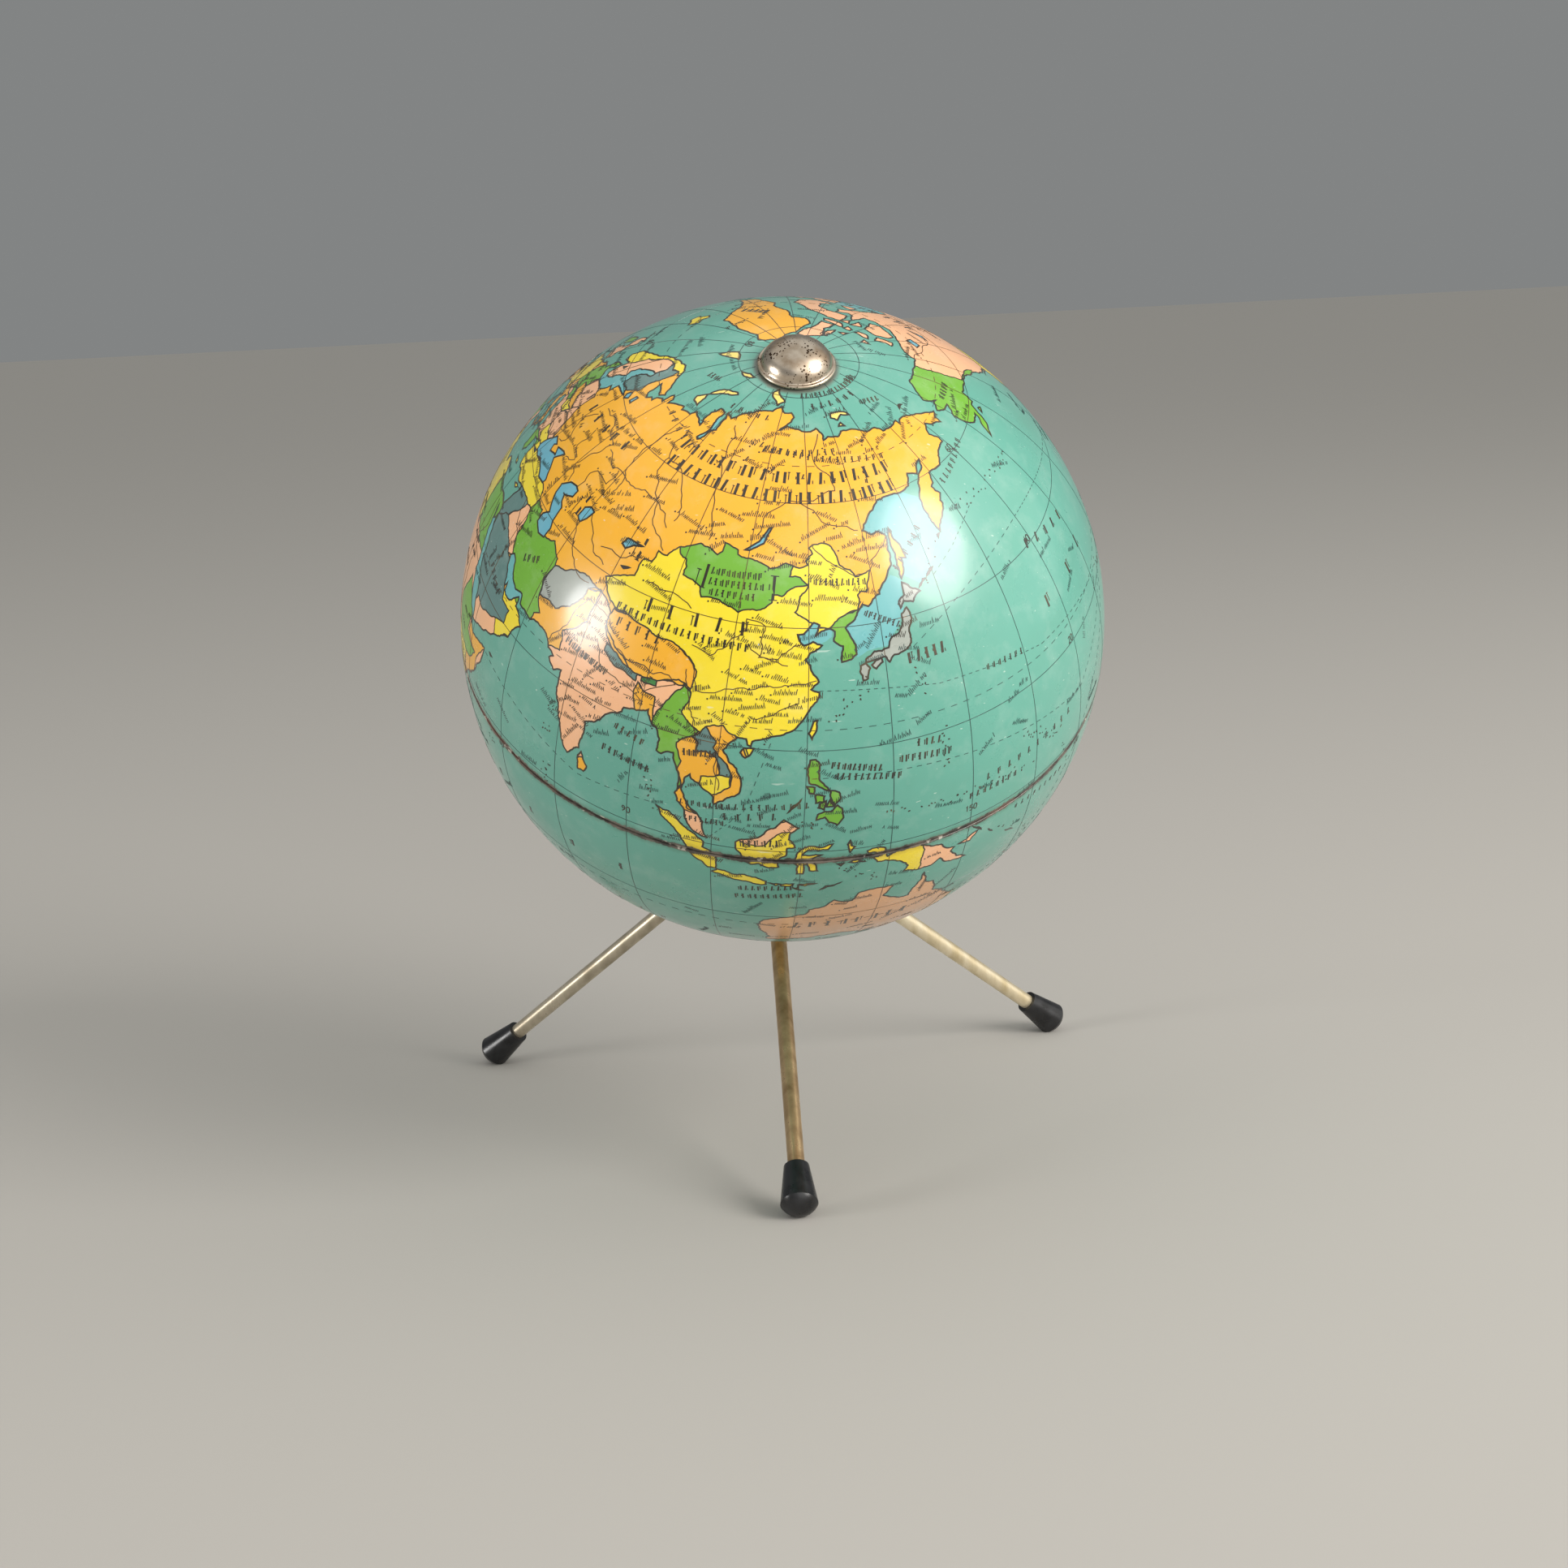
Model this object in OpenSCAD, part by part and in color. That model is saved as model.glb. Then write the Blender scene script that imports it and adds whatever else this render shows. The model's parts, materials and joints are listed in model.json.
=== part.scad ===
// Desktop globe on a three-legged stand. Millimetres, +Z up, the table is z = 0.
// The polar axis leans towards the front leg (-Y). The origin is under the middle of the footprint.

/* [Globe] */
// Outer diameter of the tinplate globe
globe_d = 150; // [100:1:220]
// Thickness of the tinplate
shell_t = 0.4; // [0.3:0.1:1.2]
// Lean of the polar axis from the vertical, degrees
axis_tilt = 35.7; // [15:0.1:45]
// Turn of that lean away from the front leg, degrees
axis_turn = 5; // [-15:1:15]
// Width of the open groove between the two halves
seam_gap = 0.8; // [0.3:0.1:1.5]
// Length of the lip that the upper half slides over
seam_lip = 4; // [2:0.5:8]
// Play between the lip and the upper half
seam_play = 0.05; // [0.02:0.01:0.2]

/* [Axle and bushes] */
// Diameter of the axle rod
axle_d = 4; // [3:0.5:6]
// Radial running clearance of the axle in its bushes
axle_play = 0.08; // [0.02:0.01:0.1]
// Wall of the bush barrels
bush_wall = 1; // [0.6:0.1:2]
// Radius of the bush flanges
flange_r = 6; // [5:0.1:8]
// Thickness of the bush flanges
flange_t = 0.5; // [0.3:0.1:1]
// Margin that the cap's pocket and the thrust washer leave round a flange
flange_margin = 0.5; // [0.2:0.1:1]
// Radius of the backing washers inside the globe
backing_r = 9; // [7:0.5:12]
// Thickness of the backing washers at their middle
backing_t = 1.2; // [0.6:0.1:2]
// End float between the turning globe and the washers
end_float = 0.1; // [0.05:0.05:0.3]
// Radius of the fibre washer under the cap
top_washer_r = 5.5; // [4.5:0.1:6]
// Thickness of the fibre washer under the cap
top_washer_t = 0.5; // [0.3:0.1:1]
// Free height of the coned spring washer
spring_h = 0.9; // [0.6:0.1:1.5]
// Thickness of the spring washer's metal
spring_t = 0.4; // [0.2:0.1:0.6]
// Margin of the spring washer round the axle and inside the fibre washer
spring_margin = 0.3; // [0.2:0.1:0.6]
// Thickness of the fibre thrust washer on the hub
thrust_t = 1; // [0.5:0.1:2]

/* [Cap nut] */
// Diameter of the cap over its rolled lip
cap_d = 17; // [15:0.5:24]
// Height of the cap over its lip
cap_h = 6; // [5.5:0.1:9]
// Gap between the lip and the tinplate
cap_gap = 0.35; // [0.3:0.05:1]
// Width of the flared brim outside the dome
cap_brim = 0.9; // [0.5:0.1:1.5]
// Height of the brim and its lip
cap_lip = 0.8; // [0.6:0.1:1.2]
// Margin of the cap's pocket round the fibre washer
cap_pocket_margin = 1; // [0.5:0.1:1.5]
// Metal of the cap's crown over the end of the axle
crown_t = 1.4; // [1:0.1:2]

/* [Hub] */
// Diameter of the turned hub
hub_d = 30; // [26:1:40]
// Thickness of the hub
hub_t = 11.5; // [10:0.5:16]
// Height of the middle of the hub over the table
hub_h = 65; // [50:1:90]
// Chamfer of the hub's rims
hub_chamfer = 1.5; // [0.5:0.5:2.5]

/* [Legs and feet] */
// Diameter of the leg rods
leg_d = 4; // [3:0.5:5]
// Distance of each foot from the vertical through the hub
leg_reach = 88; // [75:1:120]
// Radius at which the leg axes cross the middle plane of the hub
socket_r = 7.2; // [6.5:0.1:8]
// Angle between the front socket and each back socket, degrees
socket_angle = 135; // [125:1:145]
// Length of the front leg screwed in past that radius
front_leg_in = 4; // [2:0.1:4]
// Length of each back leg screwed in past that radius
back_leg_in = 0.3; // [0:0.1:1]
// Distance of the spot-faced nut seats past that radius
seat_out = 7; // [6:0.5:8]
// Room of a spot face round the corners of its nut
seat_play = 0.5; // [0.3:0.1:1]
// Radius of the rounded end of a rubber foot
foot_dome_r = 5; // [4.5:0.1:7]
// Radius of a foot at its widest
foot_r = 4.4; // [3.5:0.1:4.4]
// Radius of a foot at its mouth
foot_mouth_r = 3; // [2.8:0.1:4]
// Length of a foot from its end to its mouth
foot_len = 13; // [11:0.5:20]
// Depth of the worn flat that a foot stands on
foot_flat = 0.15; // [0.1:0.05:0.3]

/* [Nuts] */
// Width across the flats of the hexagon nuts
nut_af = 7; // [6:0.5:9]
// Thickness of the axle nut
nut_t = 3.2; // [2:0.2:5]
// Thickness of the thin nuts on the legs
leg_nut_t = 2.2; // [1.5:0.1:3]
// Radial play in the threads
thread_play = 0.05; // [0.02:0.01:0.1]
// Spare depth of a threaded hole past the end of its rod
thread_spare = 0.2; // [0.1:0.1:0.5]
// Thickness of the lock washer
lock_t = 1; // [0.6:0.1:1.5]
// Width of the lock washer's slit
lock_slit = 0.8; // [0.4:0.1:1.2]
// Axle standing out past its nut
axle_out = 1.5; // [0.5:0.5:4]

/* [Hidden] */
$fn = 64;
// Depth by which two surfaces of one piece run into each other
eps = 0.01;
// Distance by which a cutter runs past what it cuts
over = 1;

globe_r = globe_d / 2;
inner_r = globe_r - shell_t;
axle_r = axle_d / 2;
barrel_r = axle_r + axle_play + bush_wall;
leg_r = leg_d / 2;

// Distances from the globe's centre along the polar axis, the same way out at both ends
flange_z = globe_r + flange_t;
washer_z = flange_z + end_float;
spring_z = washer_z + top_washer_t;
cap_seat_z = spring_z + spring_h;
cap_r = cap_d / 2;
cap_z = sqrt(globe_r * globe_r - cap_r * cap_r) + cap_gap;
dome_r = cap_r - cap_brim;
dome_foot = 0.9 * cap_lip;
axle_top_z = cap_z + cap_h - crown_t;
hub_z = washer_z + thrust_t;
hub_mid_z = hub_z + hub_t / 2;
lock_z = hub_z + hub_t;
nut_z = lock_z + lock_t;
axle_end_z = nut_z + nut_t + axle_out;

// The footprint runs from the front of the globe to the back feet, and its middle is the origin
lean_back = hub_mid_z * sin(axis_tilt);
foot_behind = 0.97 * foot_dome_r;
footprint_back = lean_back * cos(axis_turn) + leg_reach / 2 + foot_behind;
hub_y = (globe_r + footprint_back) / 2 - leg_reach / 2 - foot_behind;
centre = [
    lean_back * sin(axis_turn),
    hub_y - lean_back * cos(axis_turn),
    hub_h + hub_mid_z * cos(axis_tilt)
];

// Legs: 0 front, 1 left, 2 right. Feet stand 120 degrees apart on a circle round the hub
foot_angles = [-90, 150, 30];
socket_angles = [0, -socket_angle, socket_angle];
foot_h = foot_dome_r - foot_flat;
function foot_at(k) = [
    leg_reach * cos(foot_angles[k]),
    hub_y + leg_reach * sin(foot_angles[k]),
    foot_h
];

// A point of the polar frame, carried into the model's frame
function tilted(p) = [
    p.x,
    p.y * cos(axis_tilt) - p.z * sin(axis_tilt),
    p.y * sin(axis_tilt) + p.z * cos(axis_tilt)
];
function turned(p) = [
    p.x * cos(axis_turn) - p.y * sin(axis_turn),
    p.x * sin(axis_turn) + p.y * cos(axis_turn),
    p.z
];
function socket_at(k) = centre + turned(tilted([
    socket_r * sin(socket_angles[k]),
    -socket_r * cos(socket_angles[k]),
    -hub_mid_z
]));
function unit(v) = v / norm(v);
function leg_way(k) = unit(foot_at(k) - socket_at(k));
function leg_len(k) = norm(foot_at(k) - socket_at(k));
leg_in = [front_leg_in, back_leg_in, back_leg_in];

module polar() {
    translate(centre) rotate([0, 0, axis_turn]) rotate([axis_tilt, 0, 0]) children();
}

// Puts +Z of its children along leg k, outwards and down, from the hub's socket
module along_leg(k) {
    way = leg_way(k);
    translate(socket_at(k))
        rotate([0, acos(way.z), atan2(way.y, way.x)])
            children();
}

module ring(outer, inner, from, to) {
    rotate_extrude()
        translate([inner, from])
            square([outer - inner, to - from]);
}

// Half of a hollow ball, as an outline to turn round the polar axis
module half_ball_outline(outer, inner, low, high, hole) {
    intersection() {
        difference() {
            circle(r = outer, $fn = 360);
            circle(r = inner, $fn = 360);
        }
        translate([hole, low]) square([outer, high - low]);
    }
}

module north_shell() {
    color([0.37, 0.65, 0.58])
        polar() rotate_extrude()
            half_ball_outline(globe_r, inner_r, 0, globe_r, barrel_r);
}

// The rim of the lower half is set inwards, so the upper half slides over it
module south_shell() {
    lip_r = inner_r - seam_play;
    color([0.37, 0.65, 0.58]) polar() rotate_extrude() {
        half_ball_outline(globe_r, inner_r, -globe_r, -seam_gap, barrel_r);
        half_ball_outline(lip_r, lip_r - shell_t, -2 * seam_gap, seam_lip, barrel_r);
        half_ball_outline(globe_r - eps, lip_r - shell_t, -2 * seam_gap, -seam_gap, barrel_r);
    }
}

// Flanged bush: its flange seats on the outside of the tinplate, and its barrel's inner end
// is rolled over the backing washer
module bush() {
    roll_t = 0.6;
    roll_w = 0.8;
    bore_r = axle_r + axle_play;
    inner_end = inner_r - backing_t - roll_t;
    color("silver") rotate_extrude() {
        difference() {
            translate([bore_r, globe_r - flange_t]) square([flange_r - bore_r, 2 * flange_t]);
            circle(r = globe_r, $fn = 720);
        }
        translate([bore_r, inner_end]) square([bush_wall, flange_z - inner_end]);
        translate([bore_r, inner_end]) square([bush_wall + roll_w, roll_t]);
    }
}

module backing_washer() {
    color("gray") rotate_extrude() intersection() {
        translate([barrel_r, inner_r - backing_t]) square([backing_r - barrel_r, 2 * backing_t]);
        circle(r = inner_r, $fn = 720);
    }
}

module north_bush() {
    polar() bush();
}

module south_bush() {
    polar() rotate([180, 0, 0]) bush();
}

module north_backing_washer() {
    polar() backing_washer();
}

module south_backing_washer() {
    polar() rotate([180, 0, 0]) backing_washer();
}

// A rod with a thread at each end: the cap nut holds the top, the hub and its nut the bottom
module axle_rod() {
    end_chamfer = 0.5;
    color("gray") polar() {
        translate([0, 0, end_chamfer - axle_end_z])
            cylinder(r = axle_r, h = axle_end_z + axle_top_z - 2 * end_chamfer);
        translate([0, 0, -axle_end_z])
            cylinder(r1 = axle_r - end_chamfer, r2 = axle_r, h = end_chamfer);
        translate([0, 0, axle_top_z - end_chamfer])
            cylinder(r1 = axle_r, r2 = axle_r - end_chamfer, h = end_chamfer);
    }
}

module top_washer() {
    color("saddlebrown")
        polar() ring(top_washer_r, axle_r + thread_play, washer_z, spring_z);
}

// Coned washer that keeps a light drag on the globe
module spring_washer() {
    inner = axle_r + spring_margin;
    outer = top_washer_r - spring_margin;
    color("silver") polar() rotate_extrude() polygon([
        [inner, cap_seat_z - spring_t],
        [inner, cap_seat_z],
        [inner + spring_t, cap_seat_z],
        [outer, spring_z + spring_t],
        [outer, spring_z],
        [outer - spring_t, spring_z]
    ]);
}

// Outline of the cap over its lip: a rolled lip, a flared brim and an elliptical dome
function cap_outline() = [
    for (a = [-90:15:60]) [
        cap_r - cap_lip / 2 + cap_lip / 2 * cos(a),
        cap_lip / 2 + cap_lip / 2 * sin(a)
    ],
    for (a = [8:6:88]) [dome_r * cos(a), dome_foot + (cap_h - dome_foot) * sin(a)],
    [0, cap_h]
];

// The mouth of the cap's pocket clears the bush flange, and the rest of it the washers
module top_cap() {
    mouth_r = flange_r + flange_margin;
    pocket_r = top_washer_r + cap_pocket_margin;
    color("silver") polar() difference() {
        translate([0, 0, cap_z]) rotate_extrude()
            polygon(concat([[0, 0]], cap_outline()));
        translate([0, 0, cap_z - over]) cylinder(r = mouth_r, h = washer_z - cap_z + over);
        translate([0, 0, cap_z - over]) cylinder(r = pocket_r, h = cap_seat_z - cap_z + over);
        cylinder(r = axle_r + thread_play, h = axle_top_z + thread_spare);
    }
}

module thrust_washer() {
    color("saddlebrown")
        polar() ring(flange_r + flange_margin, axle_r + thread_play, -hub_z, -washer_z);
}

// Turned disc square to the axle. Each leg has its own drilled socket and spot-faced seat
module hub() {
    hub_r = hub_d / 2;
    color("dimgray") difference() {
        polar() difference() {
            rotate_extrude() polygon([
                [0, -lock_z],
                [hub_r - hub_chamfer, -lock_z],
                [hub_r, hub_chamfer - lock_z],
                [hub_r, -hub_z - hub_chamfer],
                [hub_r - hub_chamfer, -hub_z],
                [0, -hub_z]
            ]);
            translate([0, 0, -lock_z - over])
                cylinder(r = axle_r + thread_play, h = hub_t + 2 * over);
        }
        for (k = [0:2]) along_leg(k) {
            translate([0, 0, -leg_in[k] - thread_spare])
                cylinder(r = leg_r + thread_play, h = hub_d);
            translate([0, 0, seat_out]) cylinder(r = nut_af / sqrt(3) + seat_play, h = hub_d);
        }
    }
}

module hexagon_nut(across, hole_r, thick) {
    difference() {
        cylinder(r = across / sqrt(3), h = thick, $fn = 6);
        translate([0, 0, -over]) cylinder(r = hole_r, h = thick + 2 * over);
    }
}

// Split ring, cut through on one side
module lock_washer() {
    color("silver") polar() difference() {
        ring(nut_af / 2, axle_r + thread_play, -nut_z, -lock_z);
        translate([0, -lock_slit / 2, -nut_z - over])
            cube([nut_af, lock_slit, lock_t + 2 * over]);
    }
}

module hub_nut() {
    color("silver") polar()
        translate([0, 0, -nut_z - nut_t]) hexagon_nut(nut_af, axle_r + thread_play, nut_t);
}

module leg(k) {
    end_chamfer = 0.4;
    length = leg_in[k] + leg_len(k);
    color("darkkhaki") along_leg(k) translate([0, 0, -leg_in[k]]) {
        cylinder(r1 = leg_r - end_chamfer, r2 = leg_r, h = end_chamfer);
        translate([0, 0, end_chamfer]) cylinder(r = leg_r, h = length - end_chamfer);
    }
}

module leg_nuts() {
    color("silver") for (k = [0:2])
        along_leg(k) translate([0, 0, seat_out])
            hexagon_nut(nut_af, leg_r + thread_play, leg_nut_t);
}

// Rubber foot pushed on to the end of leg k, with a worn flat where it stands on the table
module foot(k) {
    edge = sqrt(foot_dome_r * foot_dome_r - foot_r * foot_r);
    mouth = foot_len - foot_dome_r;
    slope = (foot_r - foot_mouth_r) / (mouth + edge);
    low = foot_dome_r - edge;
    color("black") difference() {
        along_leg(k) translate([0, 0, leg_len(k)]) rotate([180, 0, 0]) difference() {
            intersection() {
                union() {
                    sphere(r = foot_dome_r);
                    cylinder(r = foot_dome_r, h = mouth);
                }
                translate([0, 0, -edge - low])
                    cylinder(r1 = foot_r + slope * low, r2 = foot_mouth_r, h = mouth + edge + low);
            }
            cylinder(r = leg_r, h = mouth + over);
        }
        translate([-globe_d * 2, -globe_d * 2, -foot_dome_r * 2])
            cube([globe_d * 4, globe_d * 4, foot_dome_r * 2]);
    }
}

module leg_front() { leg(0); }
module leg_left() { leg(1); }
module leg_right() { leg(2); }
module foot_front() { foot(0); }
module foot_left() { foot(1); }
module foot_right() { foot(2); }

north_shell();
south_shell();
north_bush();
south_bush();
north_backing_washer();
south_backing_washer();
axle_rod();
top_washer();
spring_washer();
top_cap();
thrust_washer();
hub();
lock_washer();
hub_nut();
leg_front();
leg_left();
leg_right();
leg_nuts();
foot_front();
foot_left();
foot_right();
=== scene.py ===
"""A tinplate desk globe on three rod legs: the looks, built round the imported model. Metres, +Z up."""

import json

import bpy
import numpy as np
from mathutils import Matrix, Vector
from mathutils.geometry import delaunay_2d_cdt


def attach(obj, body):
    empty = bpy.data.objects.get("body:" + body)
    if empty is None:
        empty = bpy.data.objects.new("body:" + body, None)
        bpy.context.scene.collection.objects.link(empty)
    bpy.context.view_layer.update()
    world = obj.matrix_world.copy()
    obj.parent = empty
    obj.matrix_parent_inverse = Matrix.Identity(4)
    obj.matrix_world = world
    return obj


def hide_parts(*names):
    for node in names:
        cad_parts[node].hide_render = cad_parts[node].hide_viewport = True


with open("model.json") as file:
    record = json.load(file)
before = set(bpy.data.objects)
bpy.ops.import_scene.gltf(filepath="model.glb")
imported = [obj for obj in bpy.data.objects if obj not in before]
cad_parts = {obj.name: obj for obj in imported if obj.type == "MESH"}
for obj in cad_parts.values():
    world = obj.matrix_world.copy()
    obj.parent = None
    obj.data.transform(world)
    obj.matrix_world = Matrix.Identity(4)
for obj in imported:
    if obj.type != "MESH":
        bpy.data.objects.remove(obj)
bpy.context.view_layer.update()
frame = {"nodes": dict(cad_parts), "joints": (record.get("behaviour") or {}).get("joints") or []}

# ---------------------------------------------------------------- the printed map
# The maker prints each half of the world on a flat disc of tinplate before the disc is drawn into a
# bowl. Land is laid down as flat spot colours, one for each country, from outlines of longitude and
# latitude. Each line below is a colour and its outlines; later lines print over earlier ones.
MM = 0.001
SEA = (95, 163, 146)
ORANGE = (240, 174, 40)
PEACH = (243, 184, 138)
YELLOW = (238, 214, 44)
GREEN = (110, 172, 48)
LEAF = (60, 128, 62)
SLATE = (92, 128, 124)
GREY = (158, 164, 156)
PALE = (238, 212, 110)
TAN = (226, 170, 122)
WATER = (104, 172, 192)
SHOAL = (104, 174, 176)

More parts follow.
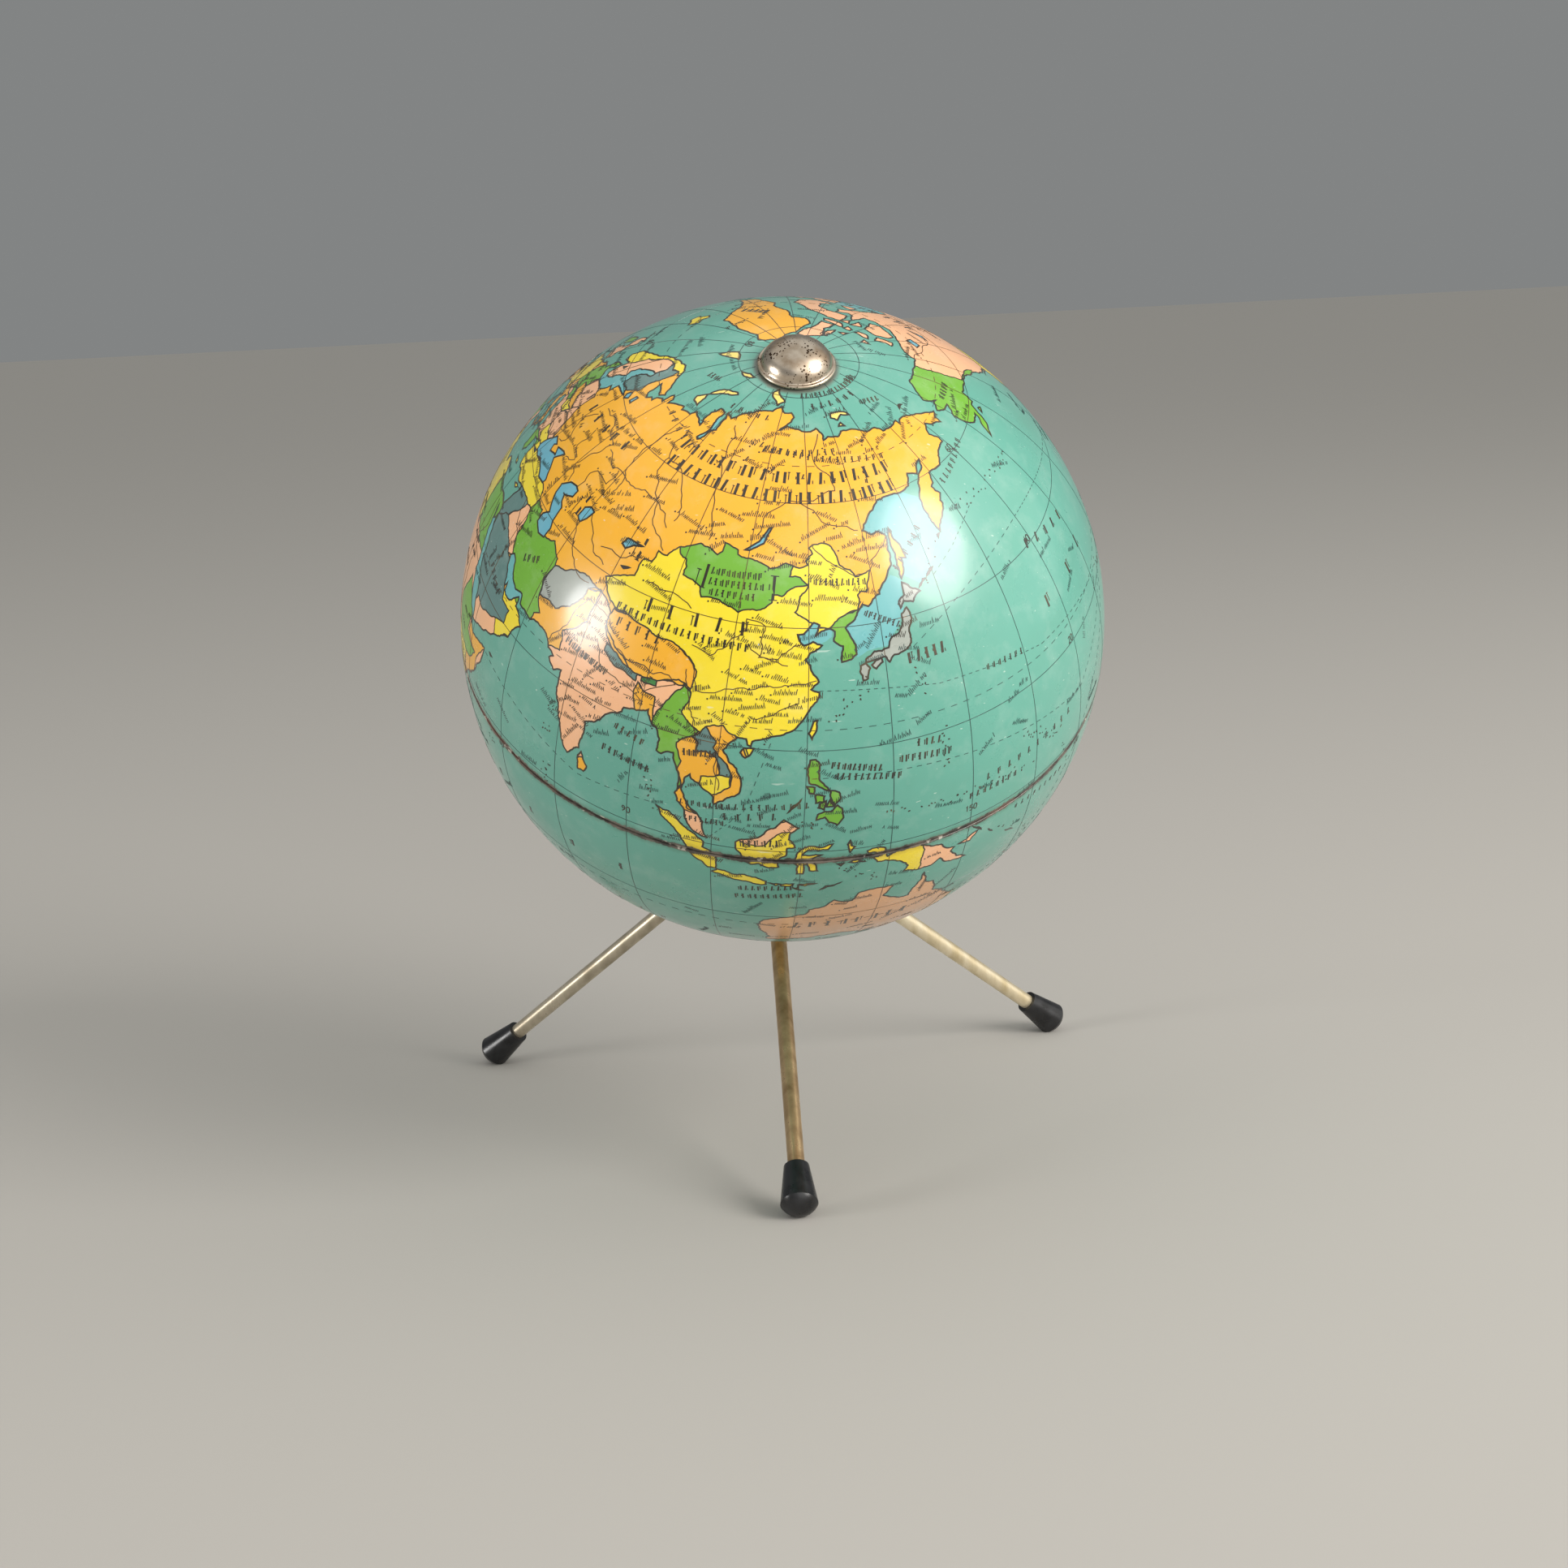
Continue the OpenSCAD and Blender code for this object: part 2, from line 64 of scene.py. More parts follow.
# Coasts
LANDS = [
    (ORANGE, """104 77.7 107 76.5 111.5 76.7 113.6 75.8 112 74.8 109.5 74 106 72.9 110 73.9 113.5 73.6 118.5
    73.1 123.3 73 126.5 73.6 129 72.6 129.3 71.2 132 71.8 137 71.5 139.8 72.4 146 72.3 150 71.6 152.7 70.9
    158 71 160.5 69.8 164 69.7 167.8 69.8 170.6 70.1 170.8 69.1 173 69.8 176.5 69.7 180 68.9 184.5 67.7
    187.5 66.9 190.3 66.1 187.5 65.4 187.2 64.3 183.6 65.2 180.8 66.3 178.5 65.5 177.4 64.6 179.4 63.1 179.2
    62.3 174.5 61.8 171 60.3 170.3 59.9 166.5 60 164.5 59.9 163.3 58.2 162 57.8 163.3 56.2 161.8 55.2 162
    54.6 160 53.2 158.6 52.5 156.7 50.9 155.7 53 155.5 55.5 156 57 157.5 58.2 160 60.2 163.5 61.3 164.8 62.6
    163.2 62.4 160.2 60.8 157 61.6 154.8 59.7 151 59.2 148.8 59.4 145.5 59.4 142.5 59.2 140 57.8 135.3 54.8
    137.6 53.9 139.5 54.2 141.3 53.2 140.6 51 140.4 48.5 138.5 46.8 136 44.4 133 42.8 131.8 43.2 130.7 42.3
    129.7 41 127.6 39.8 128.4 38.5 129.4 37 129.4 35.5 128.3 34.8 126.4 34.5 126.5 36 126.8 37 125 37.9
    125.3 39.4 124.2 39.9 121.3 38.8 122.2 40.5 121 40.9 118.9 39.1 117.7 39 118 38.2 119 37.3 120.8 37.9
    122.6 37.3 120.4 36.2 119.3 35 120.3 34.2 120.9 32.7 121.9 31.5 120.5 30.3 122 29.8 121.5 28.3 119.8
    26.3 118.5 24.6 116.8 23.2 114.3 22.4 112.5 21.8 110.6 21.2 110.4 20.3 109.8 20.5 109.5 21.5 108 21.6
    106.7 20.4 105.7 19 107 17 108.3 16.1 109.3 13.5 109.1 11.6 107.2 10.4 106.5 9.6 105 8.7 104.8 10.1 103
    11.3 102.3 12.2 100.9 12.7 100.6 13.5 99.9 12.8 99.3 10.4 99.9 9.2 100.3 8.2 101.2 6.9 102.3 6.2 103.4
    4.6 103.5 2.7 104.2 1.4 103.3 1.5 101.3 2.9 100.5 4.4 100.2 6.2 98.8 7.8 98.3 9.2 98.8 11.8 97.8 14.8
    97.3 16.6 96 16.4 95.2 15.8 94.3 16.1 94.5 18.3 93.8 19.8 92.2 21.1 91.6 22.6 90.4 22 88.5 21.7 87 21.3
    86.8 20.5 85 19.6 82.3 16.8 80.2 15.7 80.3 13.4 79.8 11.6 79.8 10.3 78.2 8.9 77.5 8.1 76.4 9.2 75.3 12
    74.2 14.8 73.1 17.2 72.8 19.6 72.7 21.6 71 20.8 69.2 22.2 70 22.9 68.3 23.6 66.6 25.3 61.6 25.1 57.4
    25.6 56.7 27.1 54.5 26.6 51.6 27.9 50.4 29.6 48.8 30.3 47.8 29.5 49 27.5 50.2 26.3 50.8 24.9 51.3 26.1
    51.6 24.4 54 24.1 56.3 26.2 56.5 24.5 58.7 23.6 59.8 22.4 58 20.4 57.6 18.9 55.2 17.4 52.2 15.6 48.6 14
    45 12.8 43.5 12.7 42.7 15.2 42.4 16.9 40.6 19.8 39.1 21.4 38.3 23.8 36.7 26 35.2 28 34.9 29.5 34.2 27.8
    32.6 29.9 33.8 27.2 35.6 24 37.3 21 37.4 18.8 39.5 15.5 43.1 12.6 43.3 11.5 45 10.5 48 11.2 51.2 11.9
    50.8 9.4 49.1 6.9 47.9 4.3 45.4 1.9 42.6 -.4 40.2 -2.7 38.8 -6.3 39.6 -8 40.6 -11 40.6 -15 37 -17.8 34.8
    -20 35.5 -23.5 32.8 -25.5 32.6 -28.3 30.5 -31 27 -33.7 22 -34.2 19.5 -34.8 18.3 -33.5 18.2 -31.7 16.5
    -28.6 14.9 -25.5 14.3 -22 11.8 -17.5 13.6 -12.6 13 -9 12 -5.5 9.4 -2 9.5 1 9.8 3.4 8.5 4.7 6 4.3 4.3 6.3
    1 5.9 -2.3 4.9 -7.7 4.4 -11.5 6.9 -13.3 8.8 -15 10.9 -17 13.4 -17.4 14.8 -16.4 16.4 -16.3 19.2 -17 21
    -15.9 23.8 -14.4 26.2 -12.8 27.9 -9.8 29.6 -9.7 31.5 -6.9 34 -5.6 35.9 -2.4 35.1 1.5 36.5 6 36.9 9.8
    37.3 11 36.9 10.2 34.3 11.5 33.1 15.2 32.3 15.9 31.3 19.2 30.3 20.1 32.2 22.7 32.8 25 31.6 29 30.9 31.5
    31.5 34.2 31.3 35 33 35.9 35.3 36.1 36.8 34 36.2 32.2 36.1 30.6 36.8 29 36.4 27.4 37 26.4 38.4 26.2 40.1
    25 40.9 23.2 40.3 23.7 39 24 37.7 23 36.4 21.6 36.8 21 38.6 19.4 40.4 19.5 41.8 17 43.1 14.8 45 13.5
    45.7 12.3 45.2 12.5 44 14.2 42.5 16.1 41.7 18.4 40.1 16.9 40.4 17 39 15.9 38 15.8 39.9 14.3 40.7 12.4
    41.8 10.5 43 8.8 44.4 7 43.6 4.6 43.4 3.1 42.6 .8 40.8 -.2 39.2 -.7 37.7 -2.1 36.7 -5.3 36.1 -6.4 36.8
    -8.9 37 -9.4 38.7 -8.7 41 -9.2 43.1 -7.8 43.7 -3.5 43.4 -1.5 43.5 -1.1 45.8 -2.6 47.4 -4.7 48.2 -1.9
    48.7 -1.6 49.7 .3 49.6 1.7 50.9 4 51.7 4.9 53 8.4 53.7 8.2 56.6 10.5 57.7 10.7 56.2 10 54.6 12.4 54.3
    14.4 53.9 18.5 54.7 19.8 54.5 21.2 55.6 21.6 57.3 24 57.1 23.6 58.9 27.5 59.5 30.1 60 27 60.5 23 59.9
    21.3 61.2 21.6 63 25.2 64.9 24.3 65.8 21.6 65.1 17.6 62.4 17.3 60.7 18.9 59.9 16.8 58 16 56.2 14.3 55.4
    12.8 55.6 11.4 58.6 10.5 59.3 8.1 58.1 5.5 58.8 5.1 61.2 8.5 63.6 12.3 66 14.8 68.2 18.8 69.9 24 71.1
    28.5 71 31 70.3 33.5 69.4 38 68.3 41 67 39.5 66.1 34.5 66.7 32.8 66.9 34.9 64.5 37.3 63.9 38.5 64.8 40.3
    64.7 40.3 65.6 42.3 66.4 44 66.2 43.8 68.4 46.2 67.9 46.5 66.9 48.5 67.7 53.5 68.8 54.5 68.2 59.5 68.7
    61 69.8 65 69.2 68.2 68.4 67 69.6 66.9 71.3 69 72.9 72.7 72.7 72.4 71 73.6 68.5 71.5 66.5 72.5 66.2 74
    67.2 74.5 68.7 76.3 69.2 76 71.8 74.8 72.9 78.4 72.3 80.8 73.5 87 75 93 76.1 98.5 76.4"""),
    (PEACH, """-168 65.6 -164 66.6 -162 66.2 -166.5 68.4 -163 69.8 -156.6 71.3 -150 70.5 -141 69.7 -136 69
    -129 70.2 -124.5 70 -116 68.8 -109 67.8 -101 67.8 -95.5 68.3 -94 71.8 -91 69.5 -88 68.7 -82.5 69.7 -82
    67.5 -86.5 66.5 -93 61.8 -94.7 58.8 -92.3 57 -88 56.5 -82.3 55.2 -82 53 -79.5 51.5 -79 54 -76.6 56.5
    -78.5 58.8 -77.7 62.5 -73.5 62.3 -70 61 -69.3 59 -66 58.8 -64.5 60.3 -61.8 56.9 -57.5 54.5 -55.8 52.5
    -60 50.2 -66.5 50.2 -70.8 46.9 -65 49.2 -65 47 -61 45.8 -66 43.6 -70.2 43.6 -71 42.3 -70 41.6 -74 40.6
    -75.9 37 -76 35.2 -81.2 31.8 -81.3 29.8 -80.2 26 -81.2 25.2 -82.8 27.8 -84 30 -89.3 30.2 -90 29.1 -94.8
    29.4 -97.3 27.6 -97.8 22.3 -96 19.2 -94.5 18.2 -91 18.7 -90.4 21 -87 21.5 -88.2 18 -88.8 15.9 -83.3 15
    -83.7 11 -81.5 9 -79.5 9.5 -77.2 8.3 -80 7.4 -83 8.2 -85.8 10 -87.7 13 -93.8 15.9 -97 15.9 -101.8 17.8
    -105.5 20.2 -105.7 22.5 -109.3 25.7 -112.2 29 -114.7 31.7 -112.8 27.8 -109.5 23.2 -112.2 26 -114.6 28
    -117 32.5 -120.6 34.6 -124.2 40.3 -124 46.3 -123 49 -127.8 51.4 -131 55 -135.5 58 -139.8 59.7 -145.5
    60.6 -149 61.1 -151.5 59.2 -153.8 59.4 -158.2 56.4 -162.8 55 -158 58 -157.2 58.8 -162 58.7 -164.7 60.5
    -165.5 62.5 -161.2 64.2 -164.8 64.4; -90 76.4 -80 76.2 -77 79 -68 80.8 -62 82.5 -70 83.1 -86 82.2 -92
    81.3 -86 79 -89 77.5; -95 78.2 -90 79.8 -93 81.3 -96.3 80; -89 70.5 -89.5 73.8 -81 73.7 -76 72.6 -68
    70.3 -62 66.5 -64 63.3 -70 62.5 -77.5 64.5 -73 65.5 -73.5 68.3 -79 70; -117.5 71 -114 72.8 -105 73
    -101.5 69.7 -106 68.8 -116.5 69.5; -125.5 72 -119 74.3 -116 73.2 -122 71.2; -116.5 75.3 -106 76 -106.5
    75 -112 74.5; -123 76.1 -117 76.3 -119 77.3; -96 76.2 -81 75.6 -80 74.7 -92 74.8; -95.5 73.8 -90.5 74
    -94 72; -102.5 73 -97 74 -98 71.6; -102.5 76.3 -97.5 76.4 -98 75.1 -102.5 75.6; -104 78.5 -99 78.4
    -104.5 77.3; -86 65.8 -81 63.8 -87 63.6; -59.3 47.7 -55.5 46.9 -53 47.5 -55.8 51.4 -57.5 50.3; -128.2
    50.7 -123.5 48.4 -125.4 50.2; 99 5 102.2 6.2"""),
    (ORANGE, """-73 78.2 -68.5 76 -59 75.8 -54.5 71 -52 69 -53.5 66.5 -48.3 61 -43.5 60 -40.5 65 -32 68.2
    -22.5 70.5 -22 72.5 -19.5 75 -18.5 77 -20 80 -12.5 81.4 -24 83 -33 83.6 -46 82.6 -60 82 -66 80.2; 142 46
    142.8 46.7 143.5 49.2 144.6 49 143.1 52.4 142.7 54.4 142.2 53.5 141.8 51.5 142.1 49; 145.6 43.9 147.8
    44.9 147 45; 148.3 45.2 150.4 46.2 149.5 46.1; 155.3 50.1 156.2 50.7 155.3 50.6; 79.8 8.8 80 6.2 81.2
    6.2 81.8 7.6 80.4 9.8; 49.3 -12 50.4 -15.8 47.2 -25 45 -25.5 43.3 -22 44.4 -19.8 44.3 -16.3 47 -15.3;
    12.5 38 15.6 38.2 15.1 36.7; 8.4 39 8.3 41 9.6 41 9.6 39.2; 8.7 42.5 9.4 43 9.4 41.5 8.8 41.6; -84.8
    21.9 -82 23.1 -74.2 20.2 -77.5 19.9 -80 21.7"""),
    (PALE, """14 79.8 16.5 76.6 21.5 78.3 27 80.1 20 80.3; 47 80.1 53 79.9 59 80.5 62 81.2 54 81.1; 51.6
    71.6 53 70.8 57.3 70.6 56 72.4 54.5 73.2; 55 73.4 57.5 74.2 61 75.3 68.5 76.7 66.5 77 60 76.3 56 75.1;
    95 79.1 100 77.9 105 78.8 99.5 80 95.5 81.2 91.5 80.2; 137.5 75.3 141 74.6 145 75.5 150 75 149 75.6 142
    76.2 138.5 76.2; 140 73.4 143.5 73.2 142 74; 178.8 71 182.6 71.2 181 71.6; -60 -63.5 -61 -67.5 -62 -74
    -77 -76.5 -75 -72 -90 -73 -103 -75 -120 -74 -140 -75.5 -158 -77.8 -163 -84.5 -180 -84.3 165 -82.5 163.5
    -76 171 -71.5 158 -69.3 144 -67 130 -66.2 110 -66 95 -66.5 86 -66.8 75 -69.5 69 -70 60 -67.3 50 -67 38
    -69.5 20 -70 0 -70 -12 -72 -26 -76 -37 -78 -60 -76.5"""),
    (GREY, """140.1 41.5 141.1 42.5 143.2 42 145.5 43.3 144 44 141.8 45.4 141.6 43.4 140 42.6; 141.4 41.4
    142 39.5 141 38.2 140.8 35.8 139.8 35 138.7 34.7 136.9 34.5 135.8 33.5 135.1 34.5 132.5 34.2 131 34.1
    131.2 34.6 133 35.6 136 35.8 137.1 37.4 138.8 37.9 139.9 39.3 140 40.6; 132.2 33.5 133 32.8 134.4 33.7
    134.2 34.4 133 34.1; 130 33.6 131 33.9 131.8 33 131.2 31.4 130.3 31.2 129.8 32.7"""),
    (YELLOW, """120.2 23 120.8 22 121.6 24 121.6 25.2 121 25; 108.7 19 109.6 18.2 110.6 19.2 110.9 20 109.3
    19.9; 109 1.4 109.6 2 111.3 2.4 113 3.2 114 4.6 115.4 5.3 116.7 7 117.6 6.4 119.2 5.3 117.9 4.2 117.7
    2.8 118.8 1 117.5 .8 117.4 -.9 116.3 -1.8 116.3 -3.8 114.7 -4.1 113 -3.2 111.7 -3.5 110.2 -2.9 110 -1.4
    109.1 -.2; 95.3 5.6 97.5 5.2 99.7 3.2 101.5 2 103.7 .2 103.5 -1 105.9 -2.6 105.8 -5.8 104.5 -5.8 102.3
    -4 100.4 -1 98.7 1.7 96.4 3.7; 105.2 -6.8 106.1 -5.9 108.5 -6.6 110.7 -6.4 112.6 -6.9 114.4 -7.8 114.4
    -8.7 111 -8.2 108 -7.8; 114.6 -8.2 116.7 -8.4 116 -8.9; 116.8 -8.5 119 -8.3 118.8 -8.8 117 -9; 119.8
    -8.5 122.9 -8.3 121 -8.9; 123.6 -10.3 124.5 -9.2 127.2 -8.4 126 -9.2; 119 -9.4 120.7 -10.2 119.6 -9.9;
    119.4 -5.5 119.5 -3.5 118.8 -2.8 119.8 .5 121 1.3 123 .9 125 1.6 124.3 .4 121 .4 120.1 -.8 121.2 -.9
    123.4 -.8 121.7 -1.9 122.5 -3.3 122.8 -4.8 121.5 -4.7 121 -3 120.4 -3.2 120.4 -5.5; 127.5 1.2 127.9 2.1
    128.1 .9 128.8 .5 128 -.7 127.7 .4; 126 -3.3 127.2 -3.3 126.7 -3.9; 128 -3.2 129.5 -2.8 130.9 -3.6 129
    -3.5; 131 -.9 132.7 -.4 134.1 -.9 134.7 -3.2 137.6 -1.5 141 -2.6 144.6 -3.9 145.8 -5.4 147.6 -6.1 147
    -6.9 148.6 -9.1 150.8 -10.4 147.5 -10 145 -7.8 143.4 -9.1 141 -9.1 138.2 -8.3 138.8 -7 135.7 -4.5 133
    -4.1 132 -2.8 133.8 -2.4 131.2 -1.5; -77.2 8.5 -75.3 10.7 -71.7 12.3 -68.3 10.9 -64 10.5 -61.8 10.6
    -58.5 7.6 -54.5 5.9 -51.5 4.3 -50 .5 -48.2 -1 -44.2 -2.6 -40 -2.9 -35.3 -5.4 -35 -8.5 -38.9 -13.4 -39.3
    -17.8 -41 -22 -44.8 -23.2 -48.6 -26 -48.7 -28.5 -52.2 -32.4 -55 -34.8 -57 -34.6 -58.4 -34.2 -56.8 -36.6
    -58 -38.3 -62 -38.9 -65 -41 -65.3 -44.5 -67.5 -46.2 -65.8 -47.8 -68.9 -50.5 -68.5 -52.4 -71 -53.8 -73.8
    -52 -75.2 -48.5 -73 -42.5 -73.5 -37.2 -71.4 -31 -70.4 -25 -70.3 -18.3 -75.5 -15.3 -78.8 -8.8 -81.3 -5.5
    -80 -3 -80.3 0 -78.7 1.6 -77.4 4 -77.8 7.1; -22.6 63.8 -18.7 63.4 -13.6 65 -16.2 66.5 -20.3 65.9 -22.4
    66.4 -24.3 65.5 -21.8 64.4; 23.6 35.4 26.2 35.2 24.8 34.9; 32.3 35 34.5 35.6 33.7 34.9"""),
    (GREEN, """120.3 16.3 120.6 14.2 121.8 13.8 124 12.7 122.3 14.7 122.3 17.6 121.5 18.5 120.6 18.4; 120.2
    13.6 121.5 13.4 121.4 12.2 120.7 12.3; 124.2 12.7 125.6 12.3 125.9 11 125 9.9 124.3 11.2; 121.7 12 123.2
    11.7 123.1 10.6 121.8 10.4; 122.4 10.2 123.5 10.8 123.2 9 122.4 9.4; 123.6 9.6 124.2 11.2 124.8 9.6; 122
    7 123.4 7.5 124.1 6.4 125.5 5.7 126.5 7.2 126.2 9.1 125.4 9.8 124.4 8.6 123.2 8.6 122.2 8.1; 117.2 8.4
    119.4 11.2 118.8 10.2; -6.2 52.2 -10.2 51.7 -9.5 53.2 -8.4 54.5 -7.3 55.3 -5.6 54.5; -70.5 -52.8 -68.5
    -53 -65.2 -54.7 -69 -55.5 -71.9 -54.2; -74.4 18.4 -72.8 19.9 -68.5 18.5 -71.5 17.8; -154.6 57.3 -152.3
    57.6 -153.5 58.1; -156 20.2 -154.9 19.5 -155.8 19.1"""),
    (PEACH, """-5.7 50.1 -3 50.7 1.4 51.2 1.7 52.7 0 53.5 -2 55.8 -2 57.6 -4 57.7 -3.1 58.6 -5 58.6 -6.2
    56.7 -4.9 55.5 -3.3 54.9 -3 53.4 -4.6 53.1 -4.2 52.2 -5.2 51.8 -3 51.3; 172.8 -34.5 175.3 -36.7 178.4
    -37.7 176.9 -40 174.7 -41.5 173.9 -39.3 174.8 -37.5; 172.7 -40.6 174.3 -41.7 171.3 -44.3 170.6 -45.9
    168.4 -46.6 166.6 -45.9 170.5 -43.1; 148.3 -5.7 150.8 -6.2 152.2 -4.3 151.4 -4.4 150 -5.4; 150.8 -2.6
    153 -4.6 152.3 -3.6; 154.7 -5.5 155.9 -6.8 155.2 -6.2; 159.7 -9.3 162.2 -10.8 160.5 -9.9; 164 -20.1 167
    -22.3 165.5 -21.9; 177.4 -17.5 178.6 -17.8 178 -18.2; 53.3 12.6 54.5 12.5 53.9 12.3; -61 -51.8 -57.9
    -51.6 -59 -52.3; -78.3 18.4 -76.2 18.1 -77.2 17.8"""),
    (TAN, """113.7 -22.6 114.2 -21.8 116.8 -20.6 119 -20 121.5 -19 122.4 -17 124.5 -16.3 126.5 -14 128.2
    -14.9 129.8 -14.9 130.8 -12.4 132.6 -12 135.2 -12.2 136.9 -12.2 135.5 -15 139 -17.4 140.8 -17.5 141.6
    -14.5 142.5 -10.7 143.6 -14.2 145.3 -15 146.2 -18.9 148.8 -20.5 150.8 -23.3 153.2 -25.5 153.4 -28.8
    152.5 -32.3 150 -37.2 146.4 -39.1 143.5 -38.8 140.5 -38 138.2 -34.9 136.6 -34 137.8 -32.6 135.5 -34.8
    134.2 -32.7 131 -31.5 126 -32.3 123.8 -33.9 119.9 -34 117.9 -35.1 115.1 -34.3 115.8 -31.8 113.8 -27
    113.4 -24.5; 144.7 -40.8 148.3 -40.9 148 -43.2 146 -43.5"""),
]
# Frontiers that two countries share, and then the countries, which are printed only on land
GOBI = """87.7 49.2 88.5 48.1 90.3 47.7 91 46.6 90.9 45.2 93.5 44.9 95.4 44.3 96.4 42.7 101.8 42.5 105 41.6
107 42.3 110.4 42.8 111.9 43.8 111.9 45.1 114 44.9 117.4 46.6"""
KHALKHA = "119.9 46.8 118 48 115.5 48.1 116.2 49.8"
AMUR = """117.8 49.5 119.8 50 119.3 50.6 121 51.8 120.1 52.7 121.5 53.3 123.5 53.5 126 52.8 127.3 50.7 127.6
49.8 130 48.9 131 47.7 132.7 47.9 134.8 48.4 134.3 47.4 133.1 45.1 131.8 45.3 131 44.8 131.2 43.5 130.6 42.4
128 42 126.5 41.5 124 39.8"""
